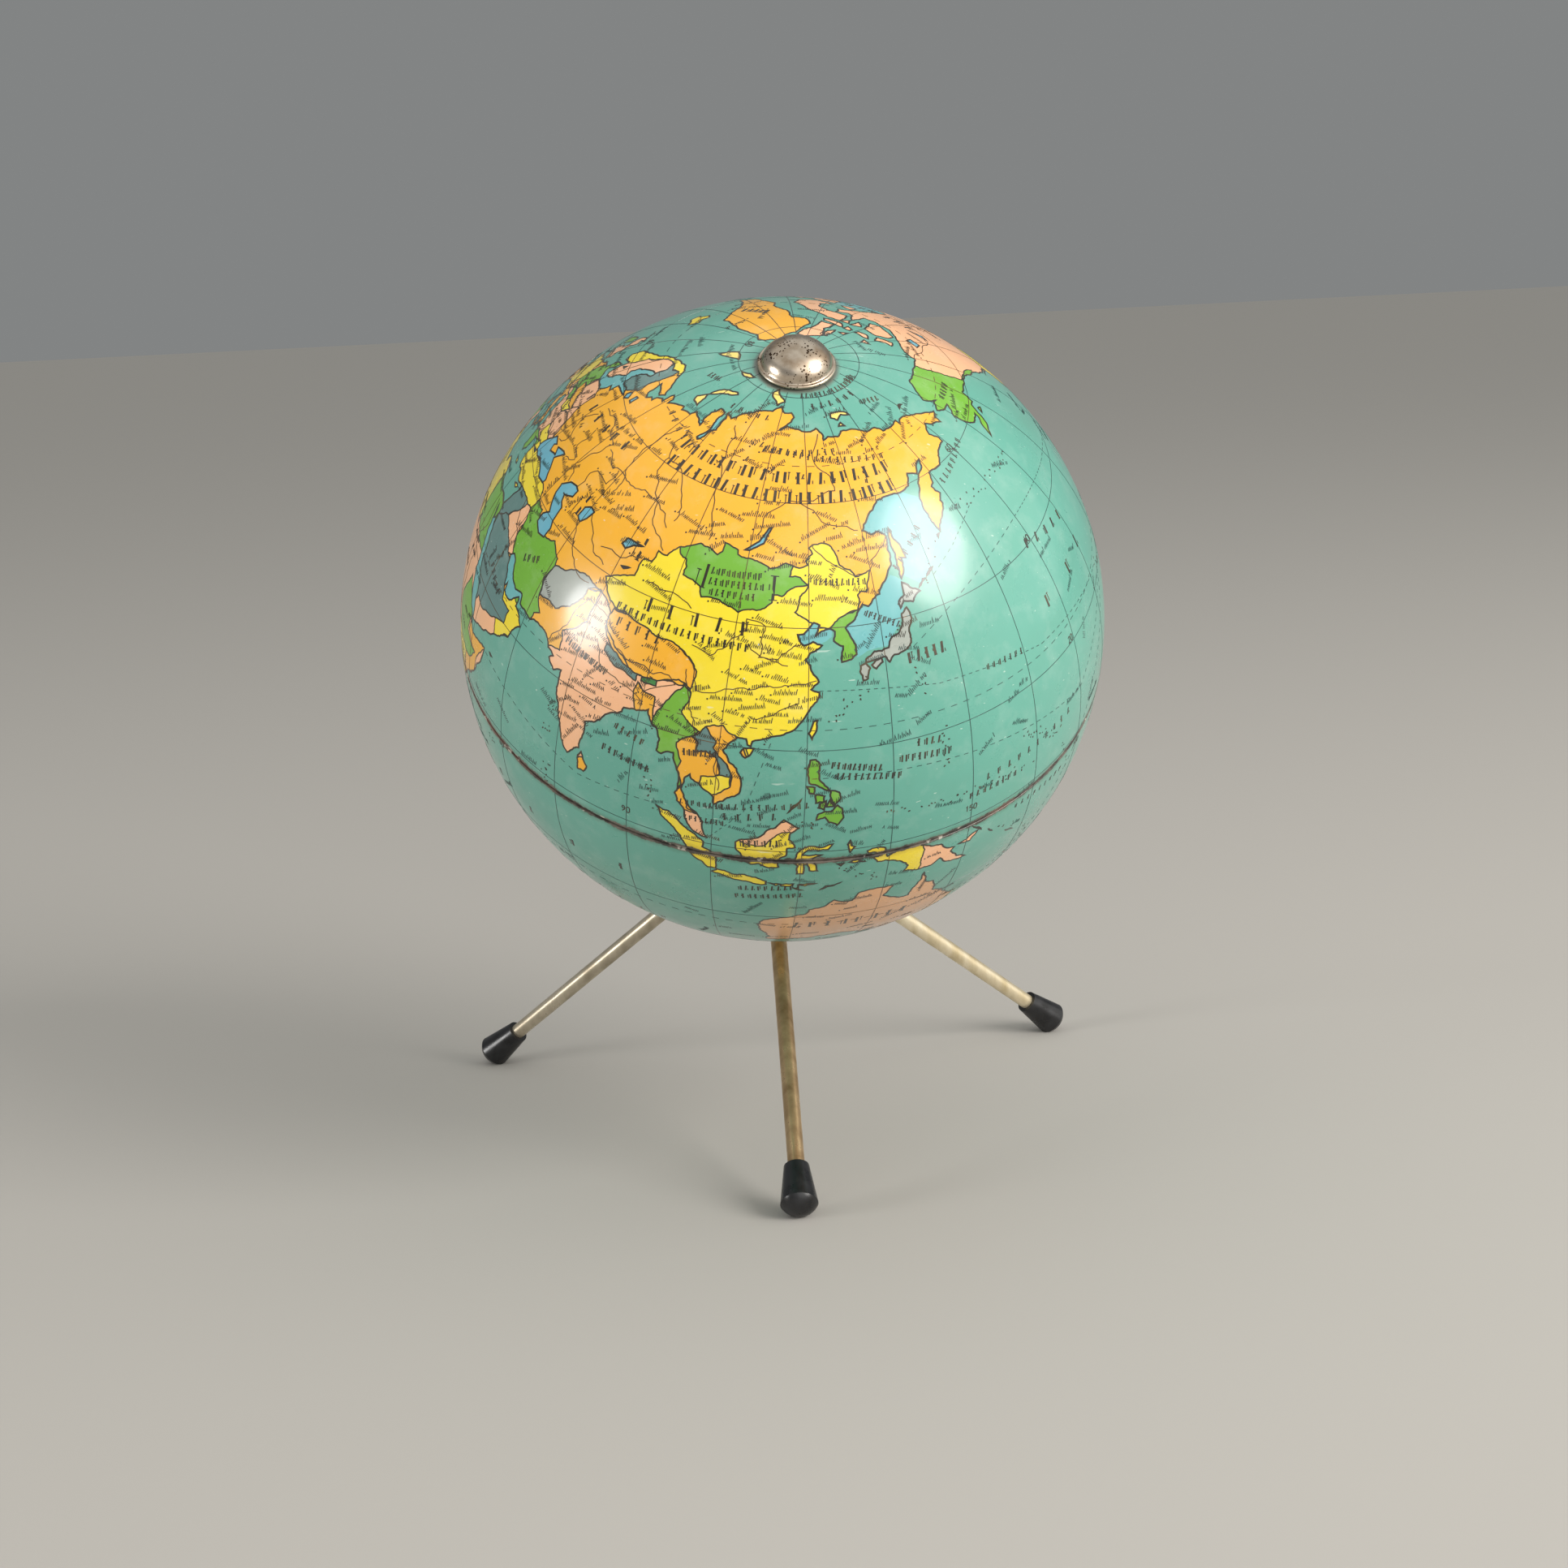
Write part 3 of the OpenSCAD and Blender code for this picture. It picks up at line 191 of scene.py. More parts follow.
STATES = [
    (PEACH, """-18 14 -17.5 28 -6 36 11 37.6 20 33 32.2 31.5 34.5 28.5 39 18 43.3 12.3 52 12 40 -16 33 -28
    20 -36 8 3 -8 3.5; 12 54.9 9 43 20 35 27.5 36 27.5 41.5 30 45 27 48 23 52 21 55"""),
    (YELLOW, """4 58 12 59 12 61 13 64 16 67.5 20 69 24.5 68.6 28 70 31 69.7 31 72 4 72; -2 43.3 3 42.3 7.5
    43.6 7 46 7.6 47.6 8 49 2.5 51.2 -5.5 49 -2 46; 16.2 47 17 48 22.2 48.3 20.5 46.2 18 45.8; 22.6 44 28.6
    43.7 28 42 23 41.4; 26 39 26.3 41.9 28 42 31 41.5 36 42 41.5 41.5 43.6 41 44.8 39.7 44.3 37.4 42.4 37.1
    38.7 36.7 36 36.2 35.9 35.8 30 36 27 36.5; 11.5 33.3 25 32 25 20 15 23 9.5 26.5 10 32; -6 36.2 -2 35.2
    -1.5 32 -8.7 27.7 -13 27.8; 34 4.5 42 4 41 -1.5 39.2 -4.7 34 -1 30 1 31 3.5; 17 4.5 27 5 31 2 29 -5 28.5
    -9 30 -12 25 -11.5 22 -11 21.5 -7 17 -8 12.5 -6 16 -2; 40.5 -10.5 40.6 -15 33 -27 31.5 -22.5 33 -19 30.5
    -15.5 34.5 -14 35 -11.5; 51.3 24.4 56 26.7 60 24 60 20 53.3 16 52 19 55 20 55.2 22.7 52 23; -124.8 48.4
    -123 49 -95 49 -89 48 -82.5 45.3 -82.5 42 -79 42.8 -79 43.5 -76 44.2 -71.5 45 -70 47.2 -67.8 47 -67 44.5
    -72 39 -78 31 -79 24 -84 25 -97.3 25.8 -99.5 27.5 -101.5 29.8 -104.5 29.5 -106.5 31.8 -111 31.3 -117.2
    32.5 -125 38"""),
    (YELLOW, f"""74 39.5 76 40.5 80.2 42 80.5 45 82.5 45.2 83 47.2 85.5 47.1 {GOBI} {KHALKHA} {AMUR} 122 36
    125 30 122 22 111 17 108 21.6 106.7 22 105.3 23.2 102.3 22.5 101.5 21.2 99.8 22 97.6 24 98.7 27.6 97
    28.3 99 31 97 33 90 34.5 84 35.5 79 36 76 37.5; {KHALKHA} {AMUR} 120 41 117 42.5 118 45; 102.4 12 102.5
    13.6 105.5 14.4 107.5 14.5 107.5 12.5 106 11.2 104.5 10.4 103 10.3"""),
    (PEACH, """11.2 59 12.3 61 12 63.5 14 64.5 16.5 67.9 20.2 69 23.8 67.9 24.2 65.6 19 60 18 55 12 55; 14.3
    54.2 19.5 54.6 23.5 54 23.7 52.5 24 50.6 22.6 49.1 19 49.4 15 50.9 14.6 52.5; 20.5 46.2 22.9 47.9 26.7
    48.2 28.2 45.5 29.8 45.1 28.5 43.7 25 43.7 22.6 44.4; 42.4 37.1 44.3 37.4 46 35.8 45.5 33.9 48 31 48.5
    29.9 46.6 29.1 42 31.1 39.2 32.1 41 34.4 41.3 36.5; 42.6 16.4 43.3 17.3 47 17 52 19 53.3 16.5 45 12 42.5
    12; 74.5 37 77.8 35.5 79 34.4 78.7 32.5 81 30.2 84 28 88.5 27.5 92 27.8 97.2 28.2 96.5 27.2 94.5 25 93.3
    23 92.6 21.5 89 20 82 10 77.5 6 70 12 66 22.5 68.8 24.2 71 24.5 70 27.7 73 29.8 74.5 31.5 74.5 34 73
    36.5; 99.6 6.5 102.2 6.2 105 4 104.6 1 102.8 1 99 5; 109.5 1.9 111 1 114 1.5 115.5 3.5 116.5 4.3 119.5
    4.2 119.5 7.5 113 6 109.5 3; 141 -2 141 -9.5 151 -12 152 -9 146 -3; -80.5 -3.5 -75 -.5 -70 -4 -73.5 -7.5
    -70 -11 -69 -17 -70.3 -18.4 -82 -8; -60.5 8.5 -51.5 5 -52 2.5 -59 1.5 -60.5 5.2"""),
    (GREEN, f"""6 54.9 14.3 54.3 14.7 51 12.2 50.3 13.8 48.6 10 47.3 7.6 47.6 6 50 6 51.8 7 53.5; 8 54.9 8
    57.8 11 57.8 10.2 54.9; -9.5 41.9 -6.5 41.8 -7.4 37 -9.5 36.9; 9.6 47.5 13.8 48.6 17 48 16 46.6 10 46.8;
    20 39.8 21 41 26.5 41.5 26.5 40.6 24 36 21 36.4; 44.8 39.7 48 39.4 49 38 54 37.3 57.3 38.2 60.7 36.5
    61.2 35.3 60.6 33.8 61 29.7 63.2 27.3 61.6 25 57 25 51 26.6 48.2 30 46 33 45.4 36 44.3 37.4; 25 31.8
    34.3 31.4 37 22 25 22; -2 35.5 8.6 37 8 33 9.5 26.5 12 23.5 3 19 -4.8 25 -8.7 27.5 -1.5 32; 37 17 43
    12.3 42 9 47.5 8 45 5 42 4 36 4.5 33 8; 12.5 -6 17 -8 21.5 -7 22 -11 24 -12 23 -17.5 12 -17; 3 6.5 4
    13.5 13 13.5 14 11 9 4.5; {GOBI} {KHALKHA} 114.4 50.2 110.7 49.1 106.7 50.1 102.3 50.6 102.1 51.3 98.3
    52 98.3 50.5 97.3 49.8 94.3 50.6 92.3 50.8 89.7 49.8; 124 39.8 126.5 41.5 128 42 130.7 42.5 131 38 130
    34 125 33.5 124 37; 97.3 28.4 98.7 27.6 97.6 24 99.8 22 101.2 21.4 100 20.3 97.6 18.5 98.8 15.5 98.3
    13.8 99.2 11 98.5 9.8 96 14 92 18 92.6 21.5 93.3 23 94.5 25; -170 65 -166 72 -141 70.5 -141 60.3 -130.5
    55.5 -150 54 -166 53; -92.2 14.4 -91 17.8 -88 18.3 -82 16 -77 8.8 -79 6.5 -86 9; -70.3 -18.3 -68 -22
    -68.5 -25 -69.8 -33 -71.5 -40 -71 -50 -68.5 -55.5 -77 -50 -74 -30; -69.3 -11 -65 -10 -60.5 -14 -58 -19.5
    -62.5 -22.2 -68 -22 -69.5 -17.5; -72 12.5 -60 10 -60.5 5.2 -64 4 -67.5 2 -67.5 6 -71 7"""),
    (SLATE, """24.2 65.7 23.7 67.9 20.6 69.1 25.7 68.9 28 70 29.5 69 30 67.5 30 64.3 31.5 62.8 28 60.5 21
    59.5 20 62; 36 36.9 42.4 37.1 41 34.4 39 32.2 37 30.5 35 29.3 34.2 31.2 35 33; 35 29.5 37.5 31.5 39.2
    32.1 42 31.1 46.6 29.1 48.5 29 50 27 51.2 24.4 52 23 55.2 22.7 55 20 52 19 47 17 43.3 17.3 42.7 16.3 36
    24; 80.2 30.2 83 29.3 86 28 88.1 27.8 88 26.4 84 27.2 80.2 28.8; 100.2 20.4 101.5 21.2 102.3 22.5 104.4
    20.3 104 19.2 106.5 16.7 107.6 14.5 105.5 14.4 104.7 17.4 103 18.2 101 17.7 101.3 19.5"""),
    (ORANGE, """12.2 50.3 15 51 19 49.5 22.6 49 22.2 48.3 17 47.9 13.8 48.6; -9 43.9 -2 43.4 3.3 42.4 0 38
    -2 36 -6.3 36 -7.4 37.2 -7 41.9 -9 42; 7 44 7 45.9 13.6 46.5 13.5 45.5 12.5 44 19 40 16 37 12 41.5; 43
    11.3 51.5 12.2 48 4 42 -2 41 0 42 4 45 5 47.5 8 42.7 9.5; 30.5 -1 34 -1 39.2 -4.7 40.5 -10.5 35 -11.5 31
    -9 29.5 -5; 16.5 -28.6 20 -28 20 -25 27 -24 31.5 -22.5 33 -28 20 -35; 61.6 24.5 61.8 26.5 63.2 27.3 61
    29.7 66.3 29.9 69.3 31.8 71 34 71.5 36.3 74.6 37 74.5 34 74.5 31.5 73 29.8 70 27.7 71 24.5 68.8 24.2 66
    23; 88.1 24.5 88.5 26.4 89.8 25.3 92.3 25 92.4 23 92.6 20.5 89 20.5 89 22; 79 35.8 84 35.5 90 34.5 97 33
    99 31 98.5 28 96 29 92 27.7 89 27.5 86 28 82 30.2 79 32.5 78.5 34.5; 100 20.3 101.3 19.5 101 17.7 103
    18.2 104.7 17.4 105.5 14.5 102.5 13.6 102.4 12 100 11 100.5 6.8 102.2 6 99.6 6.4 97.8 8 99.2 11 98.3
    13.8 98.8 15.5 97.6 18.5; 102.3 22.5 105.3 23.2 106.7 22 108.2 21.5 110 17 110 11 105 8 104.5 10.4 106
    11.2 107.5 12.5 107.6 14.7 106.5 16.7 104 19.2 104.4 20.3; -117.2 32.5 -111 31.3 -106.5 31.8 -104.5 29.5
    -101.5 29.8 -99.5 27.5 -97.2 25.8 -94 20 -86 22 -88 18.3 -91 17.8 -92.2 14.4 -108 18 -116 28; -69.5 -52
    -71.5 -40 -69.8 -33 -68.5 -25 -66 -22 -62.5 -22.2 -57.7 -25.5 -58.5 -34 -56 -37 -64 -44 -66 -50 -67 -55;
    -77.5 8.7 -72 12.5 -71 7 -67.5 6 -67.5 2 -70 -4 -75 -.5 -79 1.5"""),
    (GREY, """61 29.7 60.8 34.2 61.3 35.5 64.5 36.2 66.6 37.4 71.5 37.5 74.7 37.2 71.5 36.3 71 34 69.3 31.8
    66.3 29.9"""),
    (LEAF, "89 27.3 92 27.7 92 26.8 89 26.8"),
]
LAKES = [
    (WATER, """47 44.8 49 46.4 51.5 46.9 53 46.6 53 45.3 51 44.5 50.3 44.3 51.3 43.2 52.6 42.6 52.8 41.2 53
    40 53.9 38.9 53.8 37 51.5 36.6 49 37.6 48.9 39.2 50.3 40.4 48.5 42 47.5 43.2; 58.3 44.1 58.4 45.9 60
    46.7 61.7 46.4 61 44.8 59.8 43.6; 73.5 45.4 74.2 46.6 79 46.7 76.5 46.1 74.9 45; 103.7 51.5 105 51.6
    108.3 53 109.9 55.7 109.2 55.6 107 53.2; 76.2 42.3 78.3 42.7 77 42.1; 30.3 60.7 31.6 60 32.9 60.8 30.8
    61.8; 34.5 61 36 61 35.5 62.5 34.3 62.3; 12.5 58.5 14 58.9 13.3 59.4; 31.8 -.8 33 .4 34.1 -.2 33.4 -2.3
    32 -2.5; 29.2 -3.4 29.7 -4.5 31.2 -8.6 30.6 -8.2 29.3 -6; 34 -9.6 35.3 -14.3 34.4 -12.2; 13.3 13.4 15 13
    14.3 12.6; -92 46.8 -88 48.6 -84.8 47.8 -84.8 46.6 -88 47; -88 42 -87.8 44.3 -85.2 45.9 -86.3 44 -86.8
    42; -84 45.9 -80 45.6 -81.6 43.4 -83.8 44; -83.3 41.8 -79 42.8 -81.5 41.6; -79.7 43.4 -76.4 44 -77 43.3;
    -98.8 50.6 -97.8 53.8 -96.8 51; -117 61.2 -109.5 62.7 -113.5 60.9; -124.5 66.3 -119 67 -118 65.8 -122.5
    65.2; 28 42 28.6 43.8 30.7 46.3 33.4 46 32.6 45.4 33.6 44.4 35.5 45.1 36.6 45.3 34.9 46.2 38 47.2 39.2
    47.2 37.2 45 39 44 41.5 42.2 41.3 41.4 38.5 41 36 41.7 33.3 42 31.2 41.2 28.9 41.3; 26.8 40.4 29 41 29
    40.5"""),
]
# Shallow seas, which are printed only on the sea
SHOALS = [
    (SHOAL, """136 54 138 53.6 141.5 53.4 143 52.5 142.5 46.5 146 44.5 150 46 155.5 50.5 156.5 57 150 60 142
    59.8 136 56; 129.5 35 131.5 35.8 136 36.2 140.5 41 142 45.8 139.5 47 133 43 130 42.3 127 39.5 129.5
    37.5; 117.3 38 121 41.3 125 40.2 124.6 38.6 121 37 119 36.6; 47.5 30.6 50.5 24.5 54.5 23.8 57 26.5 52
    29.8; 32.5 30.2 35.5 28 43.7 12.8 40.5 14 36 22; 10 54.3 19 54 24 58.5 30.4 60 22 61.5 25.5 66.2 17 61.5
    14.5 55.6; -94.5 59 -85 55 -80 51.5 -76.5 57 -78 62.5 -87 64.5; 66.5 69 72.5 73 76 69 73.5 66"""),
]
RIVERS = """83 52.5 83 55 79 58.5 74 60.8 69 61 66 63.5 66.6 66.5; 84 47.5 77 52 73.4 55 69 58.2 69 61; 94
51.7 92 56 90 60 87.5 65.8 86.5 69.5 83 71.5; 106 54 108 58 115 60.4 122 60.5 129.5 62 129 64.5 123.5 67 125
70.5 127 72.5; 33 57 40 58 44 56.3 49 55.7 48 53.3 46 51 45 48.7 48 46; 58.5 54 58.5 51 53 51.3 51.6 50 51.8
47; 121 53.4 126 50 131 47.8 135 48.5 138 51 141 53; 95 34 98 32 99.5 28 104 28.8 107 29.7 111.3 30.5 114.3
30.5 117 31 121.5 31.7; 97 35 101 34 103.8 36 106.5 38.5 107 40.8 111 40 110.3 35 114 34.9 118.5 37.5; 97 31
100 22 101 18 104.8 17.5 105 14 105.5 11.5; 78 30 80 26.5 84 25.5 88 24.5 90.3 23; 82 30 88 29.3 94 29.2
95.5 28 91 26 89.8 24.5; 81 32 76 34.5 73 35 71.5 33 70.5 29 68 26 67.5 24.5; 71 37 66 37.5 61 41.5 59 43.6;
72 40.8 68 41.5 64 44.5 61.5 46.2; 41 37.5 44.3 33.2 47.7 30.8; 33 55 30.8 51.5 34.5 49 33.5 47 32 46.6; 39
54 39.5 50 43.5 48.6 40 47.3; 10 48.5 16.5 48.2 19 46.5 20.5 45 27 44 28.5 45.3; 32.5 3.5 31.5 9 32.5 15.5
33.5 19 31 22 32.8 26 31.2 30; 27 -10 26.5 -2 22 2 17.5 -.5 16 -4 13 -6; -9 10 -5 14.5 0 16.5 4 12 6.2 5.2;
-94.5 47 -91 43 -90.3 38.5 -91 33 -90.2 29.8; -112 46 -104 47.5 -98 43 -94.5 39 -90.3 38.5; -74 -4.5 -66 -3
-60 -3.2 -52 -1.3; -116 61.5 -124 65 -130 67.5 -134.5 69; 147.5 -36 142 -34.2 139.5 -35.2; 62 51 60 56 60 61
63 66; 69 43 75 43.3 80 45; 50 55 56 53.5 62 54 70 54.5 76 54 82 51; 118 60 124 57 130 56 134 55; 108 37 112
35 116 34; 110 25 114 26 118 28; 84 42 90 42 95 40.5"""


def rows(text, width=2):
    """The numbers of a text as an array, so many to a row. Semicolons part them for the eye."""
    return np.array(text.replace(";", " ").split(), float).reshape(-1, width)


def outlines(text):
    """The outlines in a text of longitudes and latitudes, each an array of pairs."""
    return [rows(part) for part in text.split(";")]


def unit(v):
    return v / np.linalg.norm(v, axis=-1, keepdims=True)


def on_map(pairs):
    """Unit vectors of longitude and latitude: (cos lat cos lon, cos lat sin lon, sin lat)."""
    lon, lat = np.radians(pairs[..., 0]), np.radians(pairs[..., 1])
    return np.stack([np.cos(lat) * np.cos(lon), np.cos(lat) * np.sin(lon), np.sin(lat)], -1)


FINEST = 0.0095
SCATTER = np.array([127.1, 311.7, 74.7])
MAGNIFY = 43758.5
WEST_OR_EAST = np.array([0.3, 0.7, 0.6])


def ragged(line, closed, finest=FINEST, rough=0.15):
    """A coast as nature has it. Each leg over `finest` radians gets a point at its middle, moved
    sideways by up to rough / 2 of its length, again and again. The move depends only on the two ends,
    so a frontier that two countries share comes out alike from both sides."""
    if closed:
        line = np.concatenate([line, line[:1]])
    while True:
        a, b = line[:-1], line[1:]
        length = np.linalg.norm(b - a, axis=1)
        long = np.flatnonzero(length > finest)
        if not len(long):
            return line[:-1] if closed else line
        a, b, length = a[long], b[long], length[long, None]
        chance = np.sin((a + b) @ SCATTER) * MAGNIFY
        flip = np.sign((b - a) @ WEST_OR_EAST)
        side = unit(np.cross(a, b)) * (flip * (chance % 1 - 0.5))[:, None]
        line = np.insert(line, long + 1, unit(a + b + 2 * rough * length * side), axis=0)


ROUGHNESS = {"land": 0.22, "state": 0.2, "shoal": 0.1, "lake": 0.06}
rings, ring_colours, ring_kinds = [], [], []
for kind, book in (("land", LANDS), ("state", STATES), ("shoal", SHOALS), ("lake", LAKES)):
    for colour, text in book:
        for pairs in outlines(text):
            rings.append(ragged(on_map(pairs), True, rough=ROUGHNESS[kind]))
            ring_colours.append(colour)
            ring_kinds.append(kind)

# ---------------------------------------------------------------- the two halves of the globe
# Drawn bowls of 0.4 mm tinplate. The lower one's rim is set inwards and pushed up into the upper one,
# which leaves the dark groove that runs round the equator. They turn together on the axle.
joint = frame["joints"][0]
CENTRE = np.array(joint["pos_m"])
AXIS = unit(np.array(joint["axis"]))
LEAN = np.arctan2(np.hypot(AXIS[0], AXIS[1]), AXIS[2])
TURN = np.arctan2(AXIS[0], -AXIS[1])
GLOBE_R = 75 * MM
TIN = 0.4 * MM
GROOVE = 0.8 * MM
LIP = 4 * MM
LIP_PLAY = 0.05 * MM
RIM_ROUND = 0.18 * MM
HOLE_R = 3.08 * MM
ROUND = 360
HOLE_ROUND = 60
SPACING = 2.6 * MM
BARE_TIN = (150, 146, 138)
PAST_RIM = 0.08


def about(axis, degrees):
    """The matrix that turns by so many degrees about x, y or z."""
    return np.array(Matrix.Rotation(np.radians(degrees), 3, axis))


# The print sits a little askew in the press: the map's pole is 2 degrees off the axle
PRINT_TURN = about("X", -1.96) @ about("Y", 0.68) @ about("Z", 145.28)
LEANING = about("Z", np.degrees(TURN)) @ about("X", np.degrees(LEAN))


def standing(v):
    """Points of the polar frame, in metres from the globe's centre, where the globe stands."""
    return v @ LEANING.T + CENTRE


def linear(colour):
    """A printer's colour of 0 to 255 as the light that it gives back."""
    c = np.array(colour) / 255
    return np.where(c > 0.04045, ((c + 0.055) / 1.055) ** 2.4, c / 12.92)


class Half:
    """One half of the globe and its flat plate. The plate is the stereographic projection of the half
    from its own pole: a unit vector v goes to (vx, vy) / (1 + |vz|)."""

    def __init__(self, side):
        self.side = side
        self.rings = []
        for line, colour, kind in zip(rings, ring_colours, ring_kinds):
            v = line @ PRINT_TURN.T
            if (v[:, 2] * side > -PAST_RIM).any():
                self.rings.append((self.flat(v), colour, kind))

    def flat(self, v):
        return v[..., :2] / (1 + v[..., 2:] * self.side)

    def round(self, p):
        """Back from the plate to unit vectors: (2x, 2y, 1 - r2) / (1 + r2)."""
        r2 = (p**2).sum(-1, keepdims=True)
        return np.concatenate([2 * p, (1 - r2) * self.side], -1) / (1 + r2)

    def painted(self, p):
        """The number of the outline that each flat point is printed in, or -1 for the sea."""
        found = np.full(len(p), -1)
        for k, (ring, colour, kind) in enumerate(self.rings):
            low, high = ring.min(0), ring.max(0)
            near = ((p > low) & (p < high)).all(1)
            if kind == "state":
                near &= found >= 0
            if kind == "shoal":
                near &= found < 0
            here = np.flatnonzero(near)
            for some in np.array_split(here, len(here) // 2000 + 1):
                found[some[inside(p[some], ring)]] = k
        return found

    def dry(self, numbers):
        """Whether each number stands for land."""
        wet = np.array([kind in ("lake", "shoal") for _, _, kind in self.rings] + [True])
        return ~wet[numbers]


def inside(p, ring):
    """Even-odd test: a point is inside if a ray along x crosses the ring an odd number of times."""
    a, b = ring, np.roll(ring, -1, axis=0)
    over = (a[:, 1] > p[:, 1:]) != (b[:, 1] > p[:, 1:])
    rise = np.where(a[:, 1] == b[:, 1], 1, b[:, 1] - a[:, 1])
    at = a[:, 0] + (p[:, 1:] - a[:, 1]) * (b[:, 0] - a[:, 0]) / rise
    return ((p[:, :1] < at) & over).sum(1) % 2 == 1


def circle(radius, count):
    turn = 2 * np.pi * np.arange(count) / count
    return radius * np.stack([np.cos(turn), np.sin(turn)], 1)


def printed_disc(half, rim_z):
    """The flat plate cut into triangles that follow every printed edge, out to the height rim_z."""
    edge_r = half.flat(np.array([np.sqrt(GLOBE_R**2 - rim_z**2), 0, rim_z]) / GLOBE_R)[0]
    hole_r = np.tan(np.arcsin(HOLE_R / GLOBE_R) / 2)
    points = [circle(edge_r, ROUND), circle(hole_r, HOLE_ROUND)]
    edges = [(0, ROUND), (ROUND, HOLE_ROUND)]
    lines = [
        np.stack([start + np.arange(n), start + (np.arange(n) + 1) % n], 1) for start, n in edges
    ]
    count = ROUND + HOLE_ROUND
    for ring, colour, kind in half.rings:
        after = np.roll(ring, -1, axis=0)
        middle = np.linalg.norm((ring + after) / 2, axis=1)
        keep = np.flatnonzero((middle < edge_r * 1.03) & (middle > hole_r))
        points.append(ring)
        lines.append(np.stack([count + keep, count + (keep + 1) % len(ring)], 1))
        count += len(ring)
    # Circles of filling points, each turned on a little from the one before
    step = SPACING / GLOBE_R
    for k, polar in enumerate(np.arange(np.arcsin(HOLE_R / GLOBE_R) + step, np.pi / 2, step * 0.87)):
        r = np.tan(polar / 2)
        if r < edge_r - step * 0.3:
            n = int(2 * np.pi * np.sin(polar) / step)
            points.append(circle(r, n) @ np.array(Matrix.Rotation(k * 0.7, 2)))
    flat = np.concatenate(points)
    lines = np.concatenate(lines)
    used = np.unique(lines)
    kept = np.union1d(used, np.arange(count, len(flat)))
    number = np.zeros(len(flat), int)
    number[kept] = np.arange(len(kept))
    found = delaunay_2d_cdt(
        flat[kept].tolist(), number[lines].tolist(), [], 0, 1e-6
    )
    flat = np.array(found[0])
    faces = np.array(found[2])
    middle = flat[faces].mean(1)
    near = within(middle, edge_r, ROUND) & ~within(middle, hole_r, HOLE_ROUND)
    a, b, c = (flat[faces[:, k]] for k in range(3))
    turn = (b - a)[:, 0] * (c - a)[:, 1] - (b - a)[:, 1] * (c - a)[:, 0]
    faces = np.where((turn * half.side < 0)[:, None], faces[:, ::-1], faces)
    faces = faces[near & (np.abs(turn) > 1e-12)]
    used, faces = np.unique(faces, return_inverse=True)
    return flat[used], faces.reshape(-1, 3)


def within(p, radius, count):
    """Whether each point is inside a regular polygon: its reach along the middle of the side that it
    faces is under the polygon's inner radius."""
    off = np.arctan2(p[:, 1], p[:, 0]) % (2 * np.pi / count) - np.pi / count
    return np.linalg.norm(p, axis=1) * np.cos(off) < radius * np.cos(np.pi / count)


def edges_of(faces):
    """Every edge of the triangles, how many faces it has, and its first and last face."""
    pairs = np.sort(faces[:, [[0, 1], [1, 2], [2, 0]]].reshape(-1, 2), axis=1)
    owner = np.repeat(np.arange(len(faces)), 3)
    edges, where, count = np.unique(pairs, axis=0, return_inverse=True, return_counts=True)
    first, last = np.full(len(edges), len(faces)), np.zeros(len(edges), int)
    np.minimum.at(first, where.ravel(), owner)
    np.maximum.at(last, where.ravel(), owner)
    return edges, count, first, last


def loop_round(flat, faces, outer):
    """The numbers of the points on the plate's outer edge, or round its hole, in order."""
    edges, count, first, last = edges_of(faces)
    on = np.unique(edges[count == 1])
    on = on[(np.linalg.norm(flat[on], axis=1) > 0.5) == outer]
    return on[np.argsort(np.arctan2(flat[on, 1], flat[on, 0]))]


SKIN_SPREAD = 0.485
INSIDE_SPREAD = 0.12
INSIDE_AT = 0.07
WIDEST = 0.52 * np.pi


def from_pole(points, side):
    """The angle of each point from its half's pole, as a share of the widest there is."""
    upright = points[:, 2] * side / np.linalg.norm(points, axis=1)
    return np.arccos(np.clip(upright, -1, 1)) / WIDEST


def flatten(mesh, uv, corners):
    layer = mesh.uv_layers.new(name="OFBake")
    layer.uv.foreach_set("vector", uv[corners].astype(np.float32).ravel())


def show(name, mesh, body):
    """The mesh as a piece that moves with a body and takes its finish from a slot."""
    piece = bpy.data.objects.new(name, mesh)
    bpy.context.scene.collection.objects.link(piece)
    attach(piece, body)
    return piece


